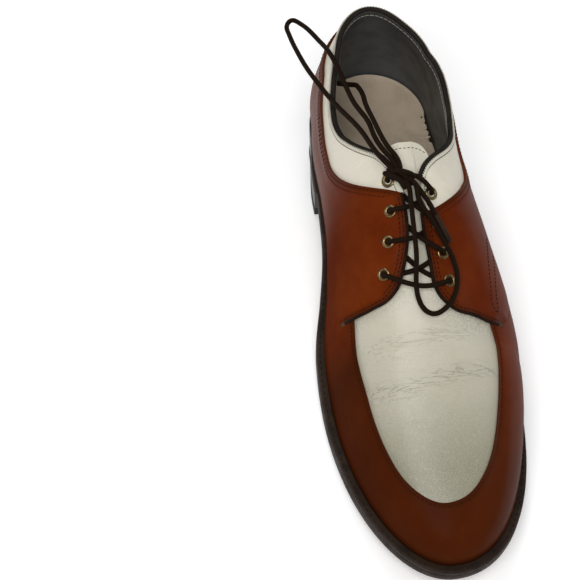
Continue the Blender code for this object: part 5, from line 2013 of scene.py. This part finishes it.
    def heel(self) -> None:
        """Make the heel stack with its lifts, and the rubber under it."""
        alongs = np.concatenate((np.linspace(0.0, 20.0, 40), np.linspace(20.8, self.breast, 16)))
        steps = [((lift + part) / self.heel_lifts, inset) for lift in range(self.heel_lifts)
                 for part, inset in ((0.0, 0.45), (0.07, 0.08), (0.14, 0.0), (0.86, 0.0), (0.93, 0.08))]
        profile = [(self.heel_reach(share, inset), self.heel_height(share))
                   for share, inset in (*steps, (1.0, 0.45))]
        piece = self.loft("heel_stack_leather", alongs, profile)
        dress(piece, [self.finishes.plain["heel_stack"]], ("heel_stack",))
        rubber = [(self.heel_reach(1.0, inset), lambda y, height=height: np.full_like(y, height))
                  for inset, height in RUBBER_EDGE]
        piece = self.loft("top_lift_rubber", alongs, rubber)
        dress(piece, [self.finishes.plain["rubber"]], ("top_lift",))

    def worn_reach(self, extra: float) -> Callable[[Points], Points]:
        """Give the sock's reach round the ring, with its nicks.

        Args:
            extra: Inset on top of the sock's own.

        Returns:
            The reach as a function of the ring.
        """
        nicks = np.array(SOCK_NICKS).T
        inset = self.insole_inset + extra
        return lambda ring: np.where(ring > 100.0, -np.interp(RING - ring, *nicks), 0.0) - inset

    def insole(self) -> None:
        """Make the sock over the insole, dished along its edge, with nicks and a pinhole inside."""
        top, flat = self.insole_thickness, -self.insole_inset - 3.0
        profile = [(lambda ring: np.full(len(ring), flat), lambda y: self.last.bed(y) + top),
                   (self.worn_reach(0.8), lambda y: self.last.bed(y) + top + 0.5),
                   (self.worn_reach(0.0), lambda y: self.last.bed(y) + top + 0.9),
                   (self.worn_reach(0.0), self.last.bed)]
        nicked = np.arange(SOCK_NICKS[0][0], SOCK_NICKS[-1][0], 0.1)
        piece = self.loft("insole_sock", np.union1d(self.alongs(), nicked), profile)
        dress(piece, [self.finishes.plain["sock"]], ("insole",))
        # The pinhole is a dark plug in the sock: painted shade in place of a hole.
        hole = self.last.outline(np.array(RING - self.pinhole_along), np.array(-self.pinhole_inset))
        height = float(self.last.bed(hole[1])) + top
        tube("sock_pinhole", np.array([(*hole, height - 1.0), (*hole, height + 0.6)]), self.pinhole, 10,
             self.finishes.plain["dark_thread"])

    def build(self) -> None:
        """Make every piece under the foot."""
        self.outsole()
        self.welt()
        self.heel()
        self.insole()


KNOT_PLACE = (120.0, -7.2, 105.8)
KNOT_BESIDE = ((-8.2, 3.4, -1.4), (-5.2, 0.8, 0.4), (-2.2, -1.8, 0.9), (0.0, -4.6, 0.2), (1.0, -7.0, -1.4))
KNOT_CORE = ((-6.2, 4.6, -0.8), (-3.4, 3.0, 1.2), (-0.4, 0.6, 2.0), (2.6, -2.2, 1.0), (4.4, -5.2, -1.2))
KNOT_UNDER = ((-5.0, 1.0, -1.6), (-2.4, -0.6, -0.6), (0.4, -1.4, -0.2), (3.4, -1.0, -0.6), (5.6, 0.6, -1.8))
STRAND_LATERAL = ((118.0, -11.9, 105.2),)
STRAND_MEDIAL = ((123.5, 5.6, 102.2), (120.2, 1.2, 104.6))
LOOP_LATERAL = (
    (113.6, -12.6, 106.6), (107.2, -16.4, 106.4), (86.5, -23.0, 101.5), (65.4, -31.5, 94.2),
    (57.1, -34.6, 91.6), (48.6, -38.4, 91.0), (39.0, -42.0, 89.6), (25.0, -45.5, 86.6),
    (9.7, -48.0, 83.0), (1.6, -48.4, 81.2), (-2.4, -45.3, 80.8), (2.4, -41.4, 83.1),
    (19.6, -33.9, 89.5), (34.9, -30.0, 96.3), (44.6, -27.4, 96.4), (54.0, -25.4, 96.0),
    (68.4, -22.9, 99.0), (83.2, -18.3, 103.0), (96.1, -16.6, 105.8), (104.1, -14.6, 108.0),
    (113.0, -10.0, 108.2),
)
END_LATERAL = (
    (113.6, -7.4, 108.4), (103.5, -12.4, 109.8), (83.6, -16.2, 105.7), (71.7, -17.4, 101.0),
    (60.5, -16.9, 95.0), (51.0, -17.3, 88.5), (43.4, -18.0, 80.5),
)
TIP_LATERAL = ((43.0, -18.3, 79.8), (40.6, -22.0, 77.6), (38.0, -26.0, 75.5))
LOOP_MEDIAL = (
    (123.4, -4.9, 7.3), (132.0, -4.4, 7.6), (139.5, -4.1, 7.7), (147.6, -3.8, 7.7),
    (155.7, -3.8, 7.7), (163.0, -4.6, 7.6), (170.0, -4.8, 5.4), (175.5, -3.6, 3.6),
    (179.6, -0.8, 2.4), (181.3, 3.6, 2.4), (178.6, 8.8, 4.4), (172.5, 13.2, 6.2),
    (164.4, 14.3, 8.0), (155.7, 12.6, 8.0), (147.6, 8.5, 7.8), (138.8, 3.2, 7.9),
    (132.0, -0.4, 7.9), (123.0, -1.6, 7.6),
)
END_MEDIAL = ((122.0, -2.4, 7.4), (125.5, -0.2, 7.6), (129.0, 1.4, 7.8), (133.0, 3.2, 7.9), (136.5, 5.0, 7.9))
TIP_MEDIAL = ((137.0, 5.3, 7.8), (141.5, 8.0, 7.9), (149.0, 11.6, 8.2))


@dataclass
class Lacing:
    """Brass eyelets and the lace: the lowest bar, crossings over and under, and a bow."""

    last: Last
    seams: Seams
    upper: Upper
    finishes: Finishes
    radius: float = 1.3
    step: float = 0.8
    free_step: float = 1.2
    ease_passes: int = 5
    knot_width: float = 5.3
    knot_height: float = 3.0
    knot_slant: float = -24.0
    knot_depth: float = 0.45
    top_pair: float = 1.13
    tip_radius: float = 1.4
    flange: float = 2.45
    flange_roll: float = 0.75
    flange_flat: float = 0.62
    hole: float = 1.75
    barrel: float = 2.6
    bar_lift: float = 3.35
    run_lift: float = -2.0

    def frame_at(self, place: Place, lift: float) -> Matrix:
        """Give the placing of an eyelet whose own Z stands out of the leather.

        Args:
            place: Ring and rise.
            lift: Height over the last.

        Returns:
            The placing in metres.
        """
        point = self.last.lifted(np.array(place[0]), np.array(place[1]), np.array(lift))
        normal = self.last.normal(np.array(place[0]), np.array(place[1]))
        turn = Vector(normal).to_track_quat("Z", "Y").to_matrix().to_4x4()
        return Matrix.Translation(Vector(point) * MM) @ turn

    def seat(self, number: int) -> float:
        """Give the height of the leather's face under an eyelet."""
        return self.upper.collar_lift if number == 1 else self.upper.quarter_lift

    def lace(self, name: str, points: Points, nodes: Names = (), thick: float = 1.0,
             sides: int = 12) -> Piece:
        """Make a stretch of lace.

        Args:
            name: The piece's name.
            points: Millimetre points along it.
            nodes: CAD nodes that it stands for.
            thick: Share of the lace's usual thickness.
            sides: Faces round it.

        Returns:
            The piece.
        """
        return tube(name, points, self.radius * thick, sides, self.finishes.lace, nodes)

    def eyelets(self) -> None:
        """Make one eyelet with a rolled flange and a barrel, and set a copy in each hole."""
        deselect()
        bpy.ops.mesh.primitive_torus_add(major_segments=40, minor_segments=14, major_radius=self.flange * MM,
                                         minor_radius=self.flange_roll * MM, location=(0.0, 0.0, 0.0))
        flange = bpy.context.object
        bpy.ops.object.mode_set(mode="EDIT")
        bpy.ops.mesh.select_all(action="SELECT")
        bpy.ops.transform.resize(value=(1.0, 1.0, self.flange_flat))
        bpy.ops.transform.translate(value=(0.0, 0.0, 0.25 * MM))
        bpy.ops.object.mode_set(mode="OBJECT")
        deselect()
        bpy.ops.mesh.primitive_cylinder_add(vertices=40, radius=self.hole * MM, depth=self.barrel * MM,
                                            end_fill_type="NOTHING", location=(0.0, 0.0, -1.1 * MM))
        barrel = bpy.context.object
        activate(barrel)
        bpy.ops.object.transform_apply(location=True, rotation=True, scale=True)
        apply_modifier(barrel, "SOLIDIFY", thickness=0.3 * MM, offset=1.0)
        activate(flange)
        barrel.select_set(True)
        bpy.ops.object.join()
        smooth(flange, 50.0)
        for side in Side:
            for number, place in enumerate(self.seams.eyelets[side], start=1):
                piece = flange.copy()
                piece.data = flange.data.copy()
                piece.name = f"brass_eyelet_{side.name.lower()}_{number}"
                bpy.context.scene.collection.objects.link(piece)
                size = self.top_pair if number == 1 else 1.0
                piece.data.transform(self.frame_at(place, self.seat(number)) @ Matrix.Scale(size, 4))
                dress(piece, [self.finishes.brass], (f"eyelet_{side.name.lower()}_{number}",))
        bpy.data.objects.remove(flange, do_unlink=True)

    def eyelet_path(self, place: Place, number: int, upwards: bool) -> list[Points]:
        """Give the points of the lace in one eyelet.

        Args:
            place: Ring and rise of the eyelet.
            number: The eyelet's number, from the top.
            upwards: True from below to above.

        Returns:
            The points.
        """
        lifts = (self.run_lift, self.seat(number) - 0.6, self.seat(number) + 0.9)
        points = [self.last.lifted(np.array(place[0]), np.array(place[1]), np.array(lift)) for lift in lifts]
        return points if upwards else points[::-1]

    def over(self, start: Place, final: Place, shares: Points, lifts: Points,
             sag: float = 0.0) -> list[Points]:
        """Give points between two eyelets across the instep.

        Args:
            start: Ring and rise of the first eyelet.
            final: Ring and rise of the second eyelet.
            shares: Shares of the way between them.
            lifts: Heights above the last at the shares.
            sag: Distance that the middle hangs towards the toe.

        Returns:
            The points.
        """
        first, end = (self.last.point(place[0], place[1]) for place in (start, final))
        made = []
        for share, lift in zip(shares, lifts):
            middle = first + (end - first) * share
            station = self.last.centre_station - middle[1] + sag * math.sin(math.pi * share)
            made.append(self.last.instep(station, middle[0], lift + self.last.upper_inset))
        return made

    def lacing(self) -> None:
        """Make the lowest bar, the crossing under it and the crossings over the tongue."""
        lateral, medial = self.seams.eyelets[Side.LATERAL], self.seams.eyelets[Side.MEDIAL]
        bar = self.bar_lift
        route = self.eyelet_path(lateral[3], 4, True)
        route += self.over(lateral[3], medial[3], (0.10, 0.22, 0.36, 0.5, 0.64, 0.78, 0.90), [bar] * 7, 5.5)
        route += self.eyelet_path(medial[3], 4, False)
        self.lace("lace_over_4", smooth_line(np.array(route), self.step), ("lace_bar_4",))
        shares = np.array((0.0, 0.15, 0.3, 0.42, 0.5, 0.58, 0.7, 0.85, 1.0))
        deep = self.run_lift
        for name, start, final, step, nodes in (("rise", lateral[3], medial[2], 1.1, ("lace_cross",)),
                                                ("fall", medial[3], lateral[2], -0.5, ())):
            lifts = deep + step * np.exp(-((shares - 0.5) / 0.18) ** 2)
            points = smooth_line(np.array(self.over(start, final, shares, lifts, 4.5)), self.free_step)
            self.lace(f"lace_under_{name}", points, nodes, sides=10)
        shares = np.array((0.08, 0.17, 0.27, 0.36, 0.45, 0.54, 0.62, 0.70, 0.85, 1.0))
        heights = np.array((bar - 0.2, bar, bar - 0.1, 2.5, 1.3, -0.2, -1.5, deep, deep, deep))
        crossings = ((3, Side.LATERAL, 0.7, ("lace_bar_3",)), (3, Side.MEDIAL, -0.6, ()),
                     (2, Side.LATERAL, -0.6, ("lace_bar_2",)), (2, Side.MEDIAL, 0.7, ()))
        for row, side, step, nodes in crossings:
            near, far = (lateral, medial) if side is Side.LATERAL else (medial, lateral)
            route = self.eyelet_path(near[row - 1], row, True)
            lifts = heights + step * np.exp(-((shares - 0.5) / 0.14) ** 2)
            route += self.over(near[row - 1], far[row - 2], shares, lifts, 3.2)
            self.lace(f"lace_over_{row}_{side.name.lower()}", smooth_line(np.array(route), self.step), nodes)

    def floor_route(self, route: Table) -> Points:
        """Give a route's points from stations, sides and heights over the floor."""
        last = self.last
        return np.array([(x - last.centre_x, last.centre_station - station, z) for station, x, z in route])

    def instep_route(self, route: Table) -> Points:
        """Give a route's points from stations, sides and heights over the instep."""
        last = self.last
        return np.array([last.instep(station, x - last.centre_x, lift) for station, x, lift in route])

    def free(self, name: str, route: Points, nodes: Names, far_end: str, pieces: list[Piece]) -> Piece:
        """Args:
            name: The piece's name.
            route: The stretch's own points.
            nodes: The CAD nodes that it stands for.
            far_end: What its far end is; not used.
            pieces: Pieces on its far end; not used.

        Returns:
            The piece.
        """
        points = smooth_line(route, self.free_step)
        for _ in range(self.ease_passes):
            points[1:-1] = 0.25 * points[:-2] + 0.5 * points[1:-1] + 0.25 * points[2:]
        piece = self.lace(name, points, nodes)
        return piece

    def bow(self) -> None:
        """Make the knot, the strands up to it, the loops and the ends."""
        for side, rest in ((Side.LATERAL, STRAND_LATERAL), (Side.MEDIAL, STRAND_MEDIAL)):
            first = self.seams.eyelets[side][0]
            route = np.array([*self.eyelet_path(first, 1, True), *self.floor_route(rest), self.knot_centre])
            label = side.name.lower()
            self.lace(f"lace_up_{label}", smooth_line(route, self.step), (f"lace_strand_{label}",))
        self.knot()
        loops = {"lateral": self.floor_route(LOOP_LATERAL), "medial": self.instep_route(LOOP_MEDIAL)}
        for name, route in loops.items():
            self.free(f"bow_loop_{name}", self.into_knot(route, True), (f"lace_loop_{name}",), "object", [])
        routes = {"lateral": (self.floor_route(END_LATERAL), self.floor_route(TIP_LATERAL)),
                  "medial": (self.instep_route(END_MEDIAL), self.instep_route(TIP_MEDIAL))}
        for name, (end, tip) in routes.items():
            aglet = tube(f"lace_aglet_{name}", smooth_line(tip, self.free_step), self.tip_radius, 12,
                         self.finishes.plain["aglet"])
            route = np.concatenate((end, tip[1:] - 0.3 * unit(tip[1:] - tip[:-1])))
            self.free(f"bow_end_{name}", self.into_knot(route, False),
                      (f"lace_end_{name}", f"lace_tip_{name}"), "fitting", [aglet])

    def knot(self) -> None:
        """Make the knot: two turns of lace round the bases of loops and ends."""
        turn = np.linspace(-0.4 * math.pi, 2.3 * math.pi, 70)
        share = turn / (2.3 * math.pi)
        wrap = np.stack((self.knot_width * np.cos(turn) + 0.4, 1.7 - 3.6 * share,
                         self.knot_height * np.sin(turn) + 0.2), axis=1)
        slant = math.radians(self.knot_slant)
        turned = np.stack((wrap[:, 0] * math.cos(slant) - wrap[:, 1] * math.sin(slant),
                           wrap[:, 0] * math.sin(slant) + wrap[:, 1] * math.cos(slant), wrap[:, 2]), axis=1)
        turns = (("wrap", turned, 1.1, ("lace_knot",)), ("beside", KNOT_BESIDE, 1.1, ()),
                 ("core", KNOT_CORE, 1.15, ()), ("under", KNOT_UNDER, 1.1, ()))
        for name, route, thick, nodes in turns:
            points = smooth_line(self.knot_centre + np.array(route), self.step)
            self.lace(f"knot_{name}", points, nodes, thick)

    @property
    def knot_centre(self) -> Points:
        """Middle of the knot."""
        return self.floor_route((KNOT_PLACE,))[0]

    def into_knot(self, route: Points, both: bool) -> Points:
        """Carry a route on into the knot.

        Args:
            route: The route's own points.
            both: True to carry on both its ends, not only its start.

        Returns:
            The longer route.
        """
        start, final = (self.knot_centre + self.knot_depth * (route[end] - self.knot_centre)
                        for end in (0, -1))
        return np.array([start, *route, final] if both else [start, *route])

    def build(self) -> None:
        """Make the eyelets and the lace."""
        self.eyelets()
        self.bow()
        self.lacing()


LIGHTS = (
    ("key", (-0.30, -0.62, 1.32), 1.0, 16.0),
    ("back", (-0.2, 0.9, 1.2), 0.9, 7.0),
    ("side", (1.0, 0.1, 1.1), 0.8, 2.5),
)


@dataclass
class Studio:
    """The floor, the light and the camera."""

    place: Spot = (-183.77, -513.51, 931.26)
    right: Spot = (0.98990, -0.12959, 0.05749)
    down: Spot = (-0.08242, -0.85598, -0.51039)
    forward: Spot = (0.11535, 0.50050, -0.85802)
    lens: float = 124.14
    sky: float = 0.13
    floor_glow: float = 0.2

    def camera(self) -> None:
        """Set the camera at the photograph's angle to the shoe."""
        data = bpy.data.cameras.new("camera")
        data.lens = self.lens
        data.sensor_width = 36.0
        data.clip_start, data.clip_end = 0.05, 50.0
        camera = bpy.data.objects.new("camera", data)
        bpy.context.scene.collection.objects.link(camera)
        axes = (Vector(self.right), -Vector(self.down), -Vector(self.forward))
        camera.matrix_world = Matrix.Translation(Vector(self.place) * MM) @ Matrix(axes).transposed().to_4x4()
        bpy.context.scene.camera = camera

    def floor(self) -> None:
        """Lay the plain pale floor."""
        deselect()
        bpy.ops.mesh.primitive_grid_add(x_subdivisions=2, y_subdivisions=2, size=8.0,
                                        location=(0.0, 0.0, -0.0002))
        floor = bpy.context.object
        floor.name = "floor"
        sheet = Sheet("floor")
        floor.data.materials.append(sheet.finish(
            (0.94, 0.94, 0.94), 0.95, specular_ior_level=0.0, emission_color=(1.0, 1.0, 1.0, 1.0),
            emission_strength=self.floor_glow))

    def light(self, name: str, place: Spot, size: float, power: float) -> None:
        """Hang a soft area light that faces the shoe.

        Args:
            name: The light's name.
            place: Where it hangs, in metres.
            size: Its side length in metres.
            power: Its power in watts.
        """
        data = bpy.data.lights.new(name, "AREA")
        data.shape = "RECTANGLE"
        data.size, data.size_y = size, size
        data.energy = power
        lamp = bpy.data.objects.new(name, data)
        bpy.context.scene.collection.objects.link(lamp)
        lamp.location = place
        lamp.rotation_mode = "QUATERNION"
        lamp.rotation_quaternion = (Vector((0.0, 0.0, 0.05)) - Vector(place)).to_track_quat("-Z", "Y")

    def build(self) -> None:
        """Set the whole studio."""
        self.camera()
        self.floor()
        for light in LIGHTS:
            self.light(*light)
        world = bpy.data.worlds.new("studio")
        bpy.context.scene.world = world
        world.use_nodes = True
        sky = world.node_tree.nodes["Background"].inputs
        sky["Color"].default_value = (1.0, 1.0, 1.0, 1.0)
        sky["Strength"].default_value = self.sky
        bpy.context.scene.view_settings.view_transform = "Standard"


def main() -> None:
    """Load the frame, build the shoe and set the studio."""
    logging.basicConfig(level=logging.INFO, format="%(name)s %(message)s")
    for shape in list(bpy.data.objects):
        bpy.data.objects.remove(shape, do_unlink=True)
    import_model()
    last = Last()
    seams = Seams(last)
    studio = Studio()
    studio.build()
    finishes = Finishes()
    upper = Upper(last, seams, finishes)
    lacing = Lacing(last, seams, upper, finishes)
    lacing.build()
    upper.build()
    sole = Sole(last, finishes)
    sole.build()
    stitching = Stitching(seams, upper, finishes)
    stitching.build()
    points, normals = sole.welt_line()
    stitching.sew("welt_stitches", *stitching.capsules(points, normals, 3.6, 2.6, 0.38), "welt_thread")


if __name__ == "__main__":
    main()
